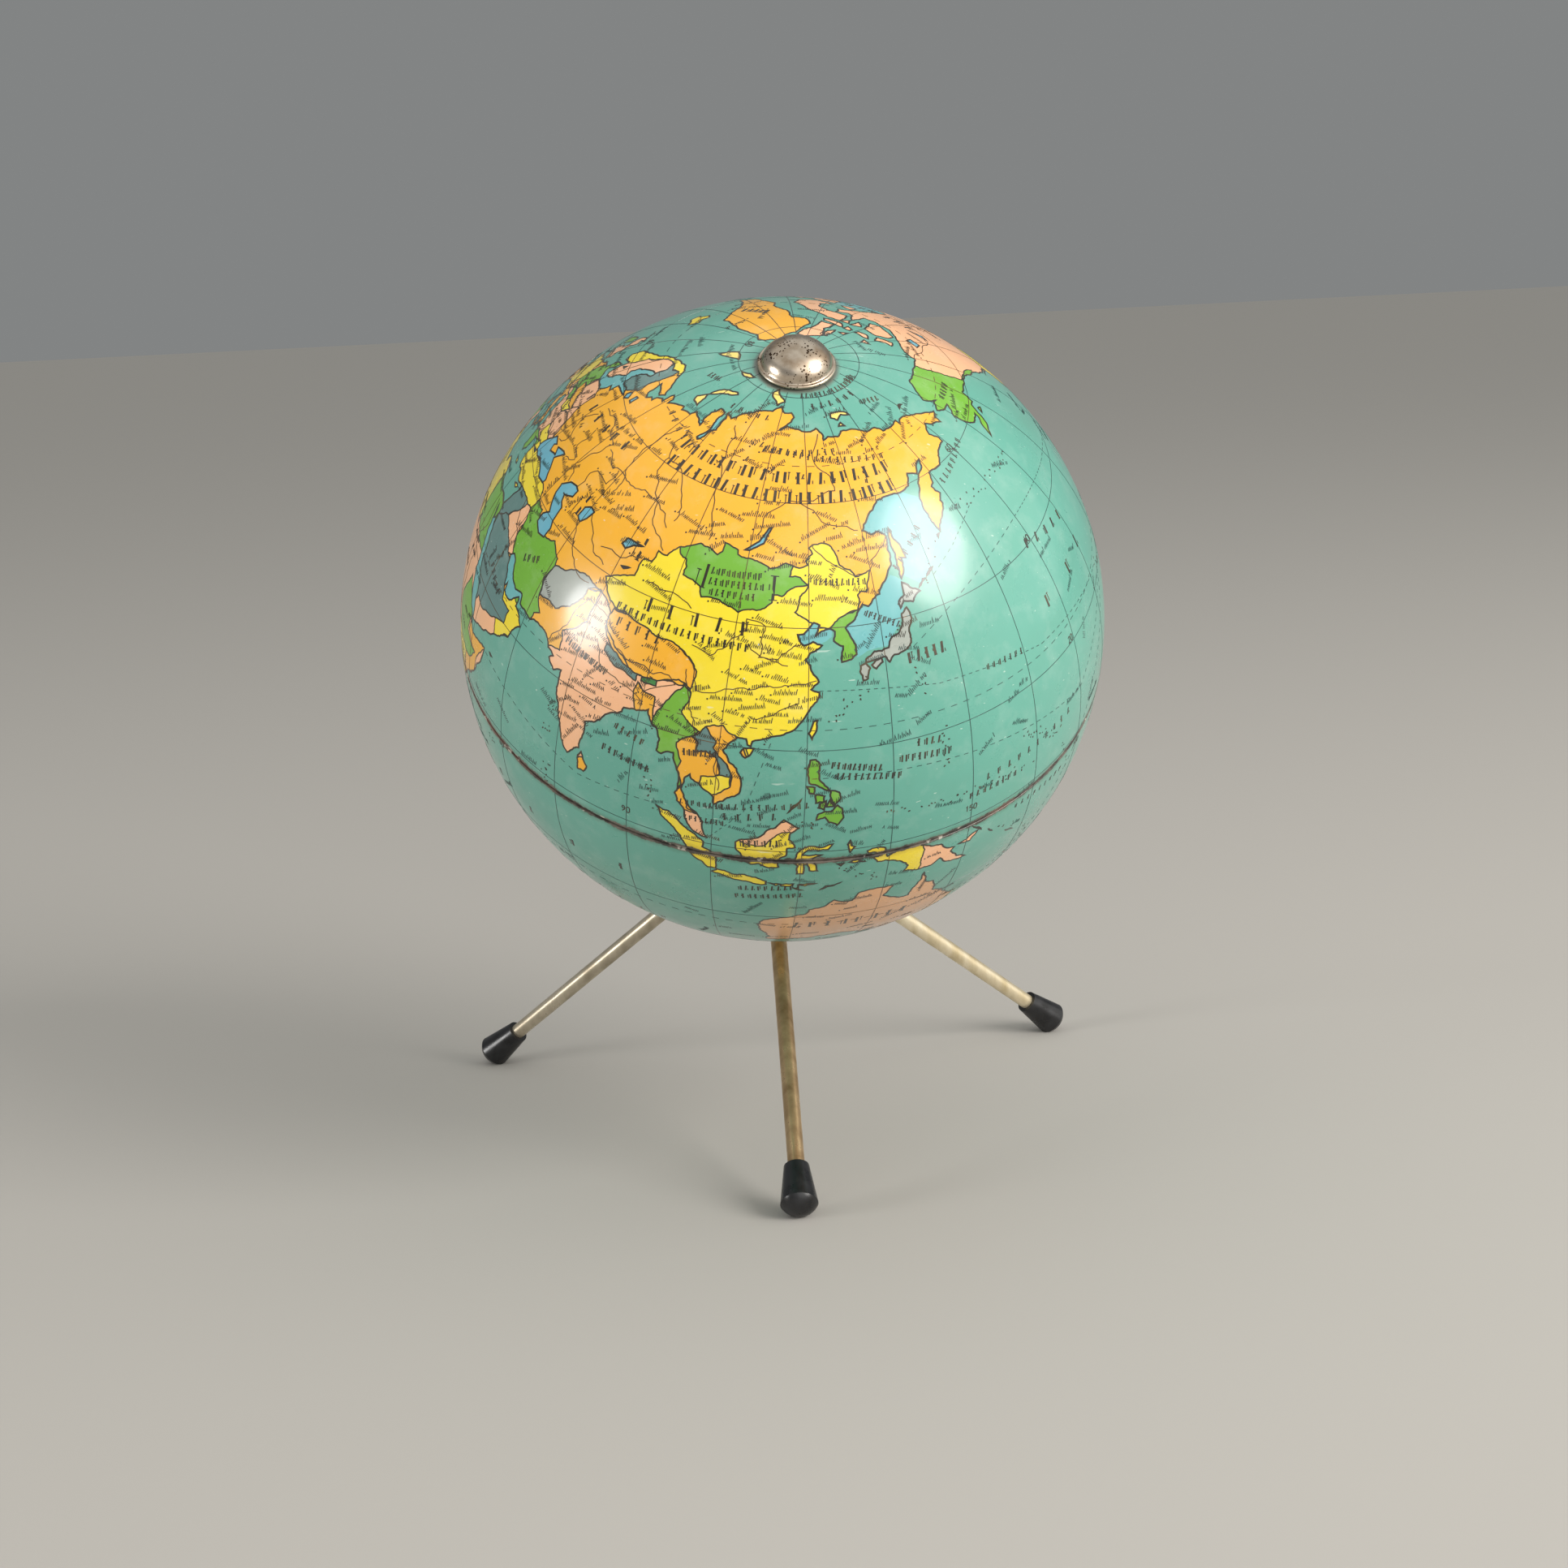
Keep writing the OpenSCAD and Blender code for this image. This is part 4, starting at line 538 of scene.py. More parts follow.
def tin_half(name, node, side, profile):
    """A closed bowl: the printed skin, the same skin moved in by the tin, and between their rims
    quads that follow the profile, a list of (radius, height) in the polar frame."""
    half = Half(side)
    rim_z = 0.0 if side > 0 else -GROOVE
    flat, faces = printed_disc(half, rim_z)
    colours = np.array([c for _, c, _ in half.rings] + [SEA])
    number = half.painted(flat[faces].mean(1))
    skin = half.round(flat)
    points = [skin * GLOBE_R, skin * (GLOBE_R - TIN)]
    count = len(flat)
    rim = loop_round(flat, faces, True)
    hole = loop_round(flat, faces, False)
    turn = skin[rim, :2] / np.linalg.norm(skin[rim, :2], axis=1, keepdims=True)
    circles = [rim]
    at = 2 * count
    for r, z in profile:
        points.append(np.concatenate([turn * r, np.full((len(rim), 1), z)], 1))
        circles.append(at + np.arange(len(rim)))
        at += len(rim)
    circles.append(rim + count)
    quads = []
    for a, b in zip(circles[:-1], circles[1:]):
        a2, b2 = np.roll(a, -1), np.roll(b, -1)
        quad = np.stack([a, b, b2, a2], 1)
        quads.append(quad if side > 0 else quad[:, ::-1])
    a, b = hole, hole + count
    quad = np.stack([a, np.roll(a, -1), np.roll(b, -1), b], 1)
    quads.append(quad if side > 0 else quad[:, ::-1])
    quads = np.concatenate(quads)
    points = np.concatenate(points)
    inner = faces[:, ::-1] + count
    corners = np.concatenate([faces.ravel(), inner.ravel(), quads.ravel()])
    sizes = np.concatenate([np.full(2 * len(faces), 3), np.full(len(quads), 4)])
    mesh = bpy.data.meshes.new(name)
    mesh.vertices.add(len(points))
    mesh.vertices.foreach_set("co", standing(points).ravel())
    mesh.loops.add(len(corners))
    mesh.loops.foreach_set("vertex_index", corners)
    mesh.polygons.add(len(sizes))
    mesh.polygons.foreach_set("loop_start", np.cumsum(sizes) - sizes)
    mesh.update(calc_edges=True)
    print_of = mesh.attributes.new("print", "FLOAT_COLOR", "FACE")
    shown = np.concatenate([colours[number], np.full((len(sizes) - len(faces), 3), BARE_TIN)])
    print_of.data.foreach_set(
        "color", np.concatenate([linear(shown), np.ones((len(sizes), 1))], 1).ravel()
    )
    # Flattened for its baked finish: the printed skin fills the square, the inside a small corner
    printed = np.arange(len(points)) < count
    spread = SKIN_SPREAD * from_pole(points, side) * np.where(printed, 1, INSIDE_SPREAD)
    uv = np.where(printed, 0.5, INSIDE_AT)[:, None] + spread[:, None] * unit(points[:, :2])
    flatten(mesh, uv, corners)
    # True ball normals on the two skins, flat ones on the rims
    normals = np.repeat(face_normals(points, corners, sizes), sizes, axis=0)
    skin_corners = 3 * len(faces)
    ball = unit(points)[corners]
    normals[:skin_corners] = ball[:skin_corners]
    normals[skin_corners : 2 * skin_corners] = -ball[skin_corners : 2 * skin_corners]
    mesh.shade_smooth()
    mesh.normals_split_custom_set((normals @ LEANING.T).tolist())
    piece = show(name, mesh, "globe")
    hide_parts(node)
    return piece, half, (flat, faces, number)


def face_normals(points, corners, sizes):
    """Each face's normal, from its first three corners."""
    first = np.cumsum(sizes) - sizes
    a, b, c = (points[corners[first + k]] for k in range(3))
    return unit(np.cross(b - a, c - a) + 1e-20)


inner_r = GLOBE_R - TIN
lip_r = inner_r - LIP_PLAY


def at_height(radius, z):
    """The point of a ball's outline at a height."""
    return (np.sqrt(radius**2 - z**2), z)


north_rim = [
    (GLOBE_R - RIM_ROUND * 0.3, -RIM_ROUND * 0.45),
    (GLOBE_R - RIM_ROUND, -RIM_ROUND * 0.6),
    (inner_r + RIM_ROUND * 0.3, -RIM_ROUND * 0.4),
]
south_rim = [
    at_height(GLOBE_R - 0.08 * MM, -GROOVE + 0.06 * MM),
    at_height(GLOBE_R - 0.22 * MM, -GROOVE + 0.1 * MM),
    at_height(lip_r, -GROOVE + 0.16 * MM),
    at_height(lip_r, 0),
    *[at_height(lip_r, z) for z in np.linspace(0.25, 1, 4) * LIP],
    at_height(lip_r - TIN, LIP),
    *[at_height(lip_r - TIN, z) for z in np.linspace(0.75, 0, 4) * LIP],
    at_height(lip_r - TIN, -GROOVE * 1.5),
]
north_piece, north, north_plate = tin_half("north_half", "north_shell", 1, north_rim)
south_piece, south, south_plate = tin_half("south_half", "south_shell", -1, south_rim)


def feed(node, inputs):
    """Each input of the node is set to a value, or linked from another node's output."""
    for key, value in inputs.items():
        if isinstance(value, bpy.types.NodeSocket):
            node.id_data.links.new(value, node.inputs[key])
        else:
            node.inputs[key].default_value = value


class Finish:
    """A material in the making, with the steps that every finish on the globe is made of."""

    def __init__(self, name, inputs):
        self.material = bpy.data.materials.new(name)
        self.material.use_nodes = True
        self.nodes = self.material.node_tree.nodes
        self.place = self.add("TexCoord", {}).outputs["Object"]
        self.set(inputs)

    def set(self, inputs):
        feed(self.nodes["Principled BSDF"], inputs)

    def add(self, kind, inputs, **settings):
        node = self.nodes.new("ShaderNode" + kind)
        for key, value in settings.items():
            setattr(node, key, value)
        feed(node, inputs)
        return node

    def noise(self, scale, detail=2.0, rough=0.5, where=None):
        inputs = {"Scale": scale, "Detail": detail, "Roughness": rough}
        inputs["Vector"] = self.place if where is None else where
        return self.add("TexNoise", inputs).outputs["Fac"]

    def cells(self, scale):
        return self.add("TexVoronoi", {"Vector": self.place, "Scale": scale}).outputs["Distance"]

    def moved(self, **settings):
        """The place turned or drawn out, for a pattern that runs one way."""
        inputs = {key.title(): value for key, value in settings.items()}
        return self.add("Mapping", {"Vector": self.place, **inputs}).outputs["Vector"]

    def ramp(self, source, start, end):
        """A value turned into another by a straight line between two (from, to) stops."""
        (a, b), (c, d) = start, end
        inputs = {"Value": source, "From Min": a, "From Max": c, "To Min": b, "To Max": d}
        return self.add("MapRange", inputs).outputs["Result"]

    def math(self, operation, *values):
        return self.add("Math", dict(enumerate(values)), operation=operation).outputs[0]

    def mixed(self, below, above, share, blend="MIX"):
        """A colour laid over another by a share of 0 to 1."""
        inputs = {0: share, 6: below, 7: above}
        return self.add("Mix", inputs, data_type="RGBA", blend_type=blend).outputs[2]

    def bumped(self, height, strength, depth, **settings):
        inputs = {"Height": height, "Strength": strength, "Distance": depth}
        return self.add("Bump", inputs, **settings).outputs["Normal"]


def printed_tin():
    """Spot colours under a yellowed gloss varnish: the ink mottles a little, the tin is not quite
    flat, rust creeps out of the groove, hands have scratched and scuffed the varnish, and a dark ring
    of painted shade and grime lies round the foot of the cap."""
    tin = Finish("printed_tin", {"IOR": 1.5, "Coat Weight": 0.6, "Coat Roughness": 0.15})
    mixed, ramp = tin.mixed, tin.ramp

    def noise(scale, detail=3.0, rough=0.6):
        return tin.noise(scale, detail, rough)

    # The same place seen from the globe's centre, with +Z along the axle
    lean = Matrix(LEANING.tolist()).to_euler()
    seat = {"Vector": tin.place, "Location": tuple(CENTRE), "Rotation": lean}
    polar = tin.add("Mapping", seat, vector_type="TEXTURE").outputs["Vector"]
    height = tin.add("SeparateXYZ", {"Vector": polar}).outputs["Z"]

    # Ink that mottles, varnish that has yellowed in clouds, and the soil of hands
    colour = tin.add("Attribute", {}, attribute_name="print").outputs["Color"]
    colour = mixed(colour, (0.80, 0.86, 0.80, 1), ramp(noise(160, 6.0), (0.5, 0.0), (0.8, 0.12)))
    yellowed = ramp(noise(22), (0.5, 0.0), (0.8, 0.3))
    colour = mixed(colour, (0.80, 0.84, 0.66, 1), yellowed, "MULTIPLY")
    soiled = ramp(noise(70, 5.0), (0.55, 0.0), (0.8, 0.3))
    colour = mixed(colour, (0.84, 0.80, 0.74, 1), soiled, "MULTIPLY")

    # Scratches: noise drawn out long in two directions, and only its thin crests kept
    scratches = []
    for turn, scale, crest in (((0.4, 0.9, 0.3), 90.0, 0.745), ((1.2, 0.2, 1.0), 120.0, 0.765)):
        drawn = tin.noise(scale, 2.0, 0.4, tin.moved(rotation=turn, scale=(1.0, 14.0, 14.0)))
        scratches.append(ramp(drawn, (crest, 0.0), (crest + 0.03, 0.4)))
        colour = mixed(colour, (0.72, 0.82, 0.74, 1), scratches[-1])
    # Chips down to the white ground and the bare tin
    chip_size = ramp(noise(30, 2.0), (0.66, 0.0), (0.8, 0.16))
    chips = tin.math("LESS_THAN", tin.cells(210.0), chip_size)
    colour = mixed(colour, (0.62, 0.64, 0.58, 1), chips)
    # Rust and grime along both lips of the groove, uneven round the globe, in a brown halo
    away = tin.math("ABSOLUTE", tin.math("ADD", height, GROOVE / 2))
    uneven = tin.math("MULTIPLY_ADD", noise(240, 8.0, 0.8), -3.2 * MM, away)
    grime = ramp(uneven, (-0.85 * MM, 0.97), (-0.6 * MM, 0.0))
    pale_dirt = ramp(noise(260), (0.4, 0.0), (0.65, 1.0))
    dirt = mixed((0.030, 0.024, 0.020, 1), (0.15, 0.12, 0.095, 1), pale_dirt)
    rust = mixed(dirt, (0.15, 0.05, 0.025, 1), ramp(noise(24, 4.0), (0.5, 0.0), (0.68, 0.9)))
    halo = ramp(uneven, (-0.9 * MM, 0.5), (0.6 * MM, 0.0))
    colour = mixed(colour, (0.42, 0.30, 0.20, 1), halo, "MULTIPLY")
    colour = mixed(colour, rust, grime)
    # Bright nicks where the lips have been knocked
    on_lip = ramp(away, (0.7 * MM, 1.0), (0.9 * MM, 0.0))
    nicks = tin.math("MULTIPLY", on_lip, ramp(noise(330, 2.0), (0.63, 0.0), (0.66, 0.8)))
    colour = mixed(colour, (0.50, 0.46, 0.38, 1), nicks)
    # A dark ring painted round the foot of the cap, wider on one side: painted shade under the cap's brim,
    # with grime
    lifted = tin.math("MULTIPLY_ADD", noise(190, 5.0), 0.16 * MM, height)
    cap_shade_and_grime = ramp(lifted, (0.9926 * GLOBE_R, 0.0), (0.9942 * GLOBE_R, 0.9))
    colour = mixed(colour, (0.13, 0.12, 0.10, 1), cap_shade_and_grime)

    scuffed = ramp(noise(55, 5.0), (0.35, 0.24), (0.7, 0.4))
    rough = tin.math("MAXIMUM", scuffed, ramp(grime, (0.0, 0.2), (0.9, 0.8)))
    waves = tin.bumped(noise(45, 2.0), 0.25, 0.4 * MM)
    scores = tin.bumped(scratches[0], 0.15, 0.1 * MM, invert=True)
    feed(scores.node, {"Normal": waves})
    tin.set({"Base Color": colour, "Roughness": rough, "Normal": scores})
    return tin.material


tin_print = printed_tin()
north_piece.data.materials.append(tin_print)
south_piece.data.materials.append(tin_print)

# ---------------------------------------------------------------- the black plate
# The last plate to print lays down the dark ink: coasts, frontiers, rivers, the net of meridians and
# parallels, town dots, place names as rows of plain strokes, and degree figures. It is a film of ink
# on the colours, 0.03 mm proud.
INK_PROUD = 0.03 * MM
INK_BELOW = -0.02 * MM
NORTH_LIMIT = RIM_ROUND
SOUTH_LIMIT = -GROOVE - RIM_ROUND
CAP_CLEAR = 7.6 * MM
SAME_PLACE = 2e-6
SAME_CORNER = 1e-4 * MM
COAST_PEN = 0.4 * MM
FRONTIER_PEN = 0.32 * MM
RIVER_PEN = 0.2 * MM
NET_PEN = 0.15 * MM
FILM_SPREAD = 0.24
FOOT_OUT = 0.004 / WIDEST


def clipped(lines):
    """Lines between pairs of unit vectors, cut off at the two lips of the groove and under the cap."""
    out = []
    for side, limit in ((1, NORTH_LIMIT), (-1, -SOUTH_LIMIT)):
        a, b = lines[:, 0] * GLOBE_R, lines[:, 1] * GLOBE_R
        over_a, over_b = a[:, 2] * side - limit, b[:, 2] * side - limit
        keep = (over_a > 0) | (over_b > 0)
        a, b, over_a, over_b = a[keep], b[keep], over_a[keep], over_b[keep]
        share = (over_a / np.where(over_a == over_b, 1, over_a - over_b))[:, None]
        cut = a + share * (b - a)
        a = np.where((over_a < 0)[:, None], cut, a)
        b = np.where((over_b < 0)[:, None], cut, b)
        out.append(unit(np.stack([a, b], 1)))
    lines = np.concatenate(out)
    clear = (np.linalg.norm(lines[..., :2], axis=-1) * GLOBE_R > CAP_CLEAR).all(1)
    long = np.linalg.norm(lines[:, 1] - lines[:, 0], axis=1) > 1e-5
    return lines[clear & long]


def film(name, lines, width, material):
    """A film of ink along lines between pairs of unit vectors. Where just two lines meet, they share
    a mitre: their corners stand off across the mean of their two ways. Each line is a flat tube of
    four walls, and an end that meets nothing, or several others, is closed."""
    lines = clipped(lines)
    keys = np.round(lines.reshape(-1, 3) / SAME_PLACE).astype(np.int64)
    _, first, number = np.unique(keys, axis=0, return_index=True, return_inverse=True)
    at = lines.reshape(-1, 3)[first]
    ends = number.reshape(-1, 2)
    ends = ends[ends[:, 0] != ends[:, 1]]
    meet = np.bincount(ends.ravel(), minlength=len(at))
    total = np.zeros(len(at), int)
    np.add.at(total, ends[:, 0], ends[:, 1])
    np.add.at(total, ends[:, 1], ends[:, 0])
    way = unit(at[ends[:, 1]] - at[ends[:, 0]])
    corners = []
    for k in (0, 1):
        here, there = ends[:, k], ends[:, 1 - k]
        joined = meet[here] == 2
        other = np.where(joined, total[here] - there, here)
        on = unit(at[here] - at[other] + 1e-15) * (1 if k == 0 else -1)
        mean = np.where(joined[:, None], unit(way + on + 1e-15), way)
        side = unit(np.cross(at[here], mean))
        slope = np.clip((mean * way).sum(1), 0.5, 1)[:, None]
        offset = side * width / 2 / slope
        for sign, rise in ((1, INK_PROUD), (-1, INK_PROUD), (-1, INK_BELOW), (1, INK_BELOW)):
            corners.append(at[here] * (GLOBE_R + rise) + sign * offset)
    count = len(ends)
    points = np.stack(corners, 1).reshape(-1, 3)
    base = 8 * np.arange(count)[:, None]
    walls = [base + np.array([k, 4 + k, 4 + (k + 1) % 4, (k + 1) % 4]) for k in range(4)]
    for k, face in ((0, [0, 1, 2, 3]), (1, [7, 6, 5, 4])):
        free = meet[ends[:, k]] != 2
        walls.append(base[free] + np.array(face))
    quads = np.concatenate(walls)
    grid = np.round(points / SAME_CORNER).astype(np.int64)
    _, first, number = np.unique(grid, axis=0, return_index=True, return_inverse=True)
    quads = number.ravel()[quads]
    points = points[first]
    mesh = bpy.data.meshes.new(name)
    mesh.from_pydata(standing(points), [], quads.tolist())
    mesh.update()
    side = np.where(points[:, 2] > -GROOVE / 2, 1, -1)
    # The two halves side by side; the foot of the film a little outside its top, so no wall is a line
    foot = np.linalg.norm(points, axis=1) < GLOBE_R
    spread = FILM_SPREAD * (from_pole(points, side) + FOOT_OUT * foot)
    uv = spread[:, None] * unit(points[:, :2])
    uv += np.stack([0.5 - 0.25 * side, np.full(len(side), 0.5)], 1)
    corners = np.zeros(len(mesh.loops), np.int32)
    mesh.loops.foreach_get("vertex_index", corners)
    flatten(mesh, uv, corners)
    mesh.materials.append(material)
    show(name, mesh, "globe")


def solid(colour):
    return (*linear(colour), 1)


def ink(name, dark, faded):
    """Printing ink under varnish: it thins out to a paler tone in patches."""
    coat = Finish(name, {"Roughness": 0.3, "Coat Weight": 0.6, "Coat Roughness": 0.1})
    thin = coat.ramp(coat.noise(140, 5.0), (0.5, 0.0), (0.75, 1.0))
    coat.set({"Base Color": coat.mixed(solid(dark), solid(faded), thin)})
    return coat.material


def on_land(v):
    """Whether each unit vector is on land."""
    dry = np.zeros(len(v), bool)
    for half in (north, south):
        mine = v[:, 2] * half.side >= 0
        dry[mine] = half.dry(half.painted(half.flat(v[mine])))
    return dry


black_ink = ink("black_ink", (44, 38, 30), (84, 70, 46))
brown_ink = ink("brown_ink", (84, 60, 32), (124, 92, 52))
teal_ink = ink("teal_ink", (34, 66, 64), (58, 98, 92))

coasts, frontiers = [], []
for half, (flat, faces, number) in ((north, north_plate), (south, south_plate)):
    edges, count, first, last = edges_of(faces)
    differ = (count == 2) & (number[first % len(faces)] != number[last])
    edges, first, last = edges[differ], first[differ], last[differ]
    dry = half.dry(number)
    ends = half.round(flat[edges])
    coasts.append(ends[dry[first] != dry[last]])
    frontiers.append(ends[dry[first] & dry[last]])
film("coast_ink", np.concatenate(coasts), COAST_PEN, black_ink)
film("frontier_ink", np.concatenate(frontiers), FRONTIER_PEN, black_ink)


def pairs(line):
    return np.stack([line[:-1], line[1:]], 1)


courses = [pairs(ragged(on_map(c), False, 0.02, 0.3) @ PRINT_TURN.T) for c in outlines(RIVERS)]
film("river_ink", np.concatenate(courses), RIVER_PEN, brown_ink)

# The net: meridians each 15 degrees and parallels each 20, the tropics and polar circles dashed
net = []
for lon in range(0, 360, 15):
    lat = np.arange(-84, 84.1, 1.5)
    net.append(pairs(on_map(np.stack([np.full(len(lat), lon), lat], 1))))
for lat in range(-80, 81, 20):
    lon = np.arange(0, 360.1, 1.5 / max(np.cos(np.radians(lat)), 0.3))
    net.append(pairs(on_map(np.stack([lon, np.full(len(lon), lat)], 1))))
for lat in (-66.5, -23.5, 23.5, 66.5):
    lon = np.arange(0, 360.1, 1.2 / np.cos(np.radians(lat)))
    net.append(pairs(on_map(np.stack([lon, np.full(len(lon), lat)], 1)))[::2])
SAILINGS = """141 35 160 42 180 45 205 43 225 38; 122 30 145 28 170 25 200 22; 121 15 150 14 180 10 200 20;
80 5 95 6 104 1; 50 12 65 9 80 5; 104 1 110 8 114 22; 153 -28 170 -15 185 5 203 21; 150 45 158 48 170 52"""
for course in outlines(SAILINGS):
    net.append(pairs(ragged(on_map(course), False, 0.018, 0.0))[::2])
net = np.concatenate(net) @ PRINT_TURN.T
over_land = on_land(unit(net.mean(1)))
film("sea_net_ink", net[~over_land], NET_PEN, teal_ink)
film("land_net_ink", net[over_land], NET_PEN, brown_ink)

# Names are set as rows of plain strokes. A stroke is two points (east, north) in millimetres from a
# place of longitude and latitude.
STROKE_PEN = 0.17 * MM
STROKE_STEP = 0.42
NAME_HIGH = 1.25
NAME_SLANT = 0.25
chance = np.random.default_rng(21)


def drawn_at(places, strokes):
    """Strokes laid on the ball: the place's unit vector, plus east and north times the offsets."""
    up = on_map(places)
    lon = np.radians(places[:, 0])
    east = np.stack([-np.sin(lon), np.cos(lon), np.zeros(len(lon))], 1)
    north_way = np.cross(up, east)
    away = strokes * (MM / GLOBE_R)
    v = up[:, None] + away[..., :1] * east[:, None] + away[..., 1:] * north_way[:, None]
    return unit(v) @ PRINT_TURN.T


def swung(strokes, degrees):
    """Strokes turned about their place."""
    a = np.radians(degrees)[:, None]
    x, y = strokes[..., 0], strokes[..., 1]
    return np.stack([x * np.cos(a) - y * np.sin(a), x * np.sin(a) + y * np.cos(a)], -1)


def small_names(places, lengths, lean):
    """Handwriting-like rows: an upright stroke each STROKE_STEP, some NAME_HIGH tall and most lower,
    and about half of them tied to the next by a sloping stroke."""
    legs = (lengths / STROKE_STEP).astype(int)
    row = np.repeat(np.arange(len(places)), legs)
    step = np.arange(len(row)) - np.repeat(np.cumsum(legs) - legs, legs)
    crest = NAME_HIGH * chance.choice([0.55, 0.6, 0.65, 1.0], len(row))
    x = step * STROKE_STEP - lengths[row] / 2
    top = np.stack([x + NAME_SLANT * crest, crest], 1)
    upright = np.stack([np.stack([x, 0 * x], 1), top], 1)
    tie = np.stack([top, np.stack([x + STROKE_STEP, 0 * x], 1)], 1)
    written = chance.random(len(row)) > 0.08
    tied = written & (chance.random(len(row)) < 0.5)
    strokes = np.concatenate([upright[written], tie[tied]])
    row = np.concatenate([row[written], row[tied]])
    return drawn_at(places[row], swung(strokes, lean[row]))


# Where the names crowd: lon and lat of opposite corners, and the share of the places that is used
CROWDED = """-9 36 30 60 .8; 30 34 60 60 .6; 104 22 122 41 .8; 72 8 92 32 .65; 92 8 109 26 .7;
98 -8 135 12 .6; 125 26 146 45 .7; 109 12 128 20 .6; -125 26 -70 48 .4; 44 48 140 58 .4; 20 66 180 78 .42;
112 -38 154 -11 .25"""
PLACES = 5200
k = np.arange(PLACES) + 0.5
around = np.degrees(k * np.pi * (1 + 5**0.5)) % 360
spiral = np.stack([around, np.degrees(np.arcsin(1 - 2 * k / PLACES))], 1)
dry = on_land(on_map(spiral) @ PRINT_TURN.T)
wanted = np.where(dry, 0.2, 0.05)
near_180 = (spiral[:, 0] + 180) % 360 - 180
for lon0, lat0, lon1, lat1, share in rows(CROWDED, 5):
    here = (near_180 > lon0) & (near_180 < lon1) & (spiral[:, 1] > lat0) & (spiral[:, 1] < lat1)
    wanted = np.where(here, np.where(dry, share, share * 0.6), wanted)
used = (chance.random(PLACES) < wanted) & (np.abs(spiral[:, 1]) < 79)
spots, dry = spiral[used], dry[used]
lengths = chance.uniform(3.0, 7.5, len(spots))
lean = chance.normal(0, 14, len(spots)) + np.where(chance.random(len(spots)) < 0.15, 55, 0)
for name, some, pen_ink in (("land_names_ink", dry, black_ink), ("sea_names_ink", ~dry, teal_ink)):
    film(name, small_names(spots[some], lengths[some], lean[some]), STROKE_PEN, pen_ink)

# Towns: a short thick dot before each name on land. Islets: dots strewn along arcs of the sea, each
# from (lon, lat) to (lon, lat), and how many
DOT = 0.34
dots = np.tile(np.array([[[-DOT / 2, 0], [DOT / 2, 0]]]), (len(spots), 1, 1))
dots[..., 0] -= lengths[:, None] / 2 + 0.6
town = drawn_at(spots, swung(dots, lean))[dry]
film("town_ink", town, DOT * MM, black_ink)
ISLETS = """145 20 145 13 12; 134 7 163 5 34; 162 12 172 6 24; 173 3 177 -6 12; 142 27 141 31 6;
124 24.5 131 31 14; 166 53 195 52 22; 147 44.5 155 50 8; 200 22 205 19.5 8; 210 -15 225 -20 26;
184 -14 190 -20 12; 166 -12 169 -20 12; 73 4 73 -1 10; 72 11 73 9 6; 93 13 94 7 12; 55 -4.5 56 -5 6;
127 -5 134 -8 14; 120 6.5 122 5 7; 179 -16 180 -18 6; 158 -7 162 -10 8"""
strewn = []
for lon0, lat0, lon1, lat1, many in rows(ISLETS, 5):
    many = int(many)
    strung = np.stack([np.linspace(lon0, lon1, many), np.linspace(lat0, lat1, many)], 1)
    strewn.append(strung + chance.normal(0, 0.55, (many, 2)))
strewn = np.concatenate(strewn)
speck = np.array([[[-0.5, 0], [0.5, 0]]]) * chance.uniform(0.25, 0.55, (len(strewn), 1, 1))
islets = drawn_at(strewn, swung(speck, chance.uniform(0, 180, len(strewn))))
film("islet_ink", islets, 0.3 * MM, black_ink)

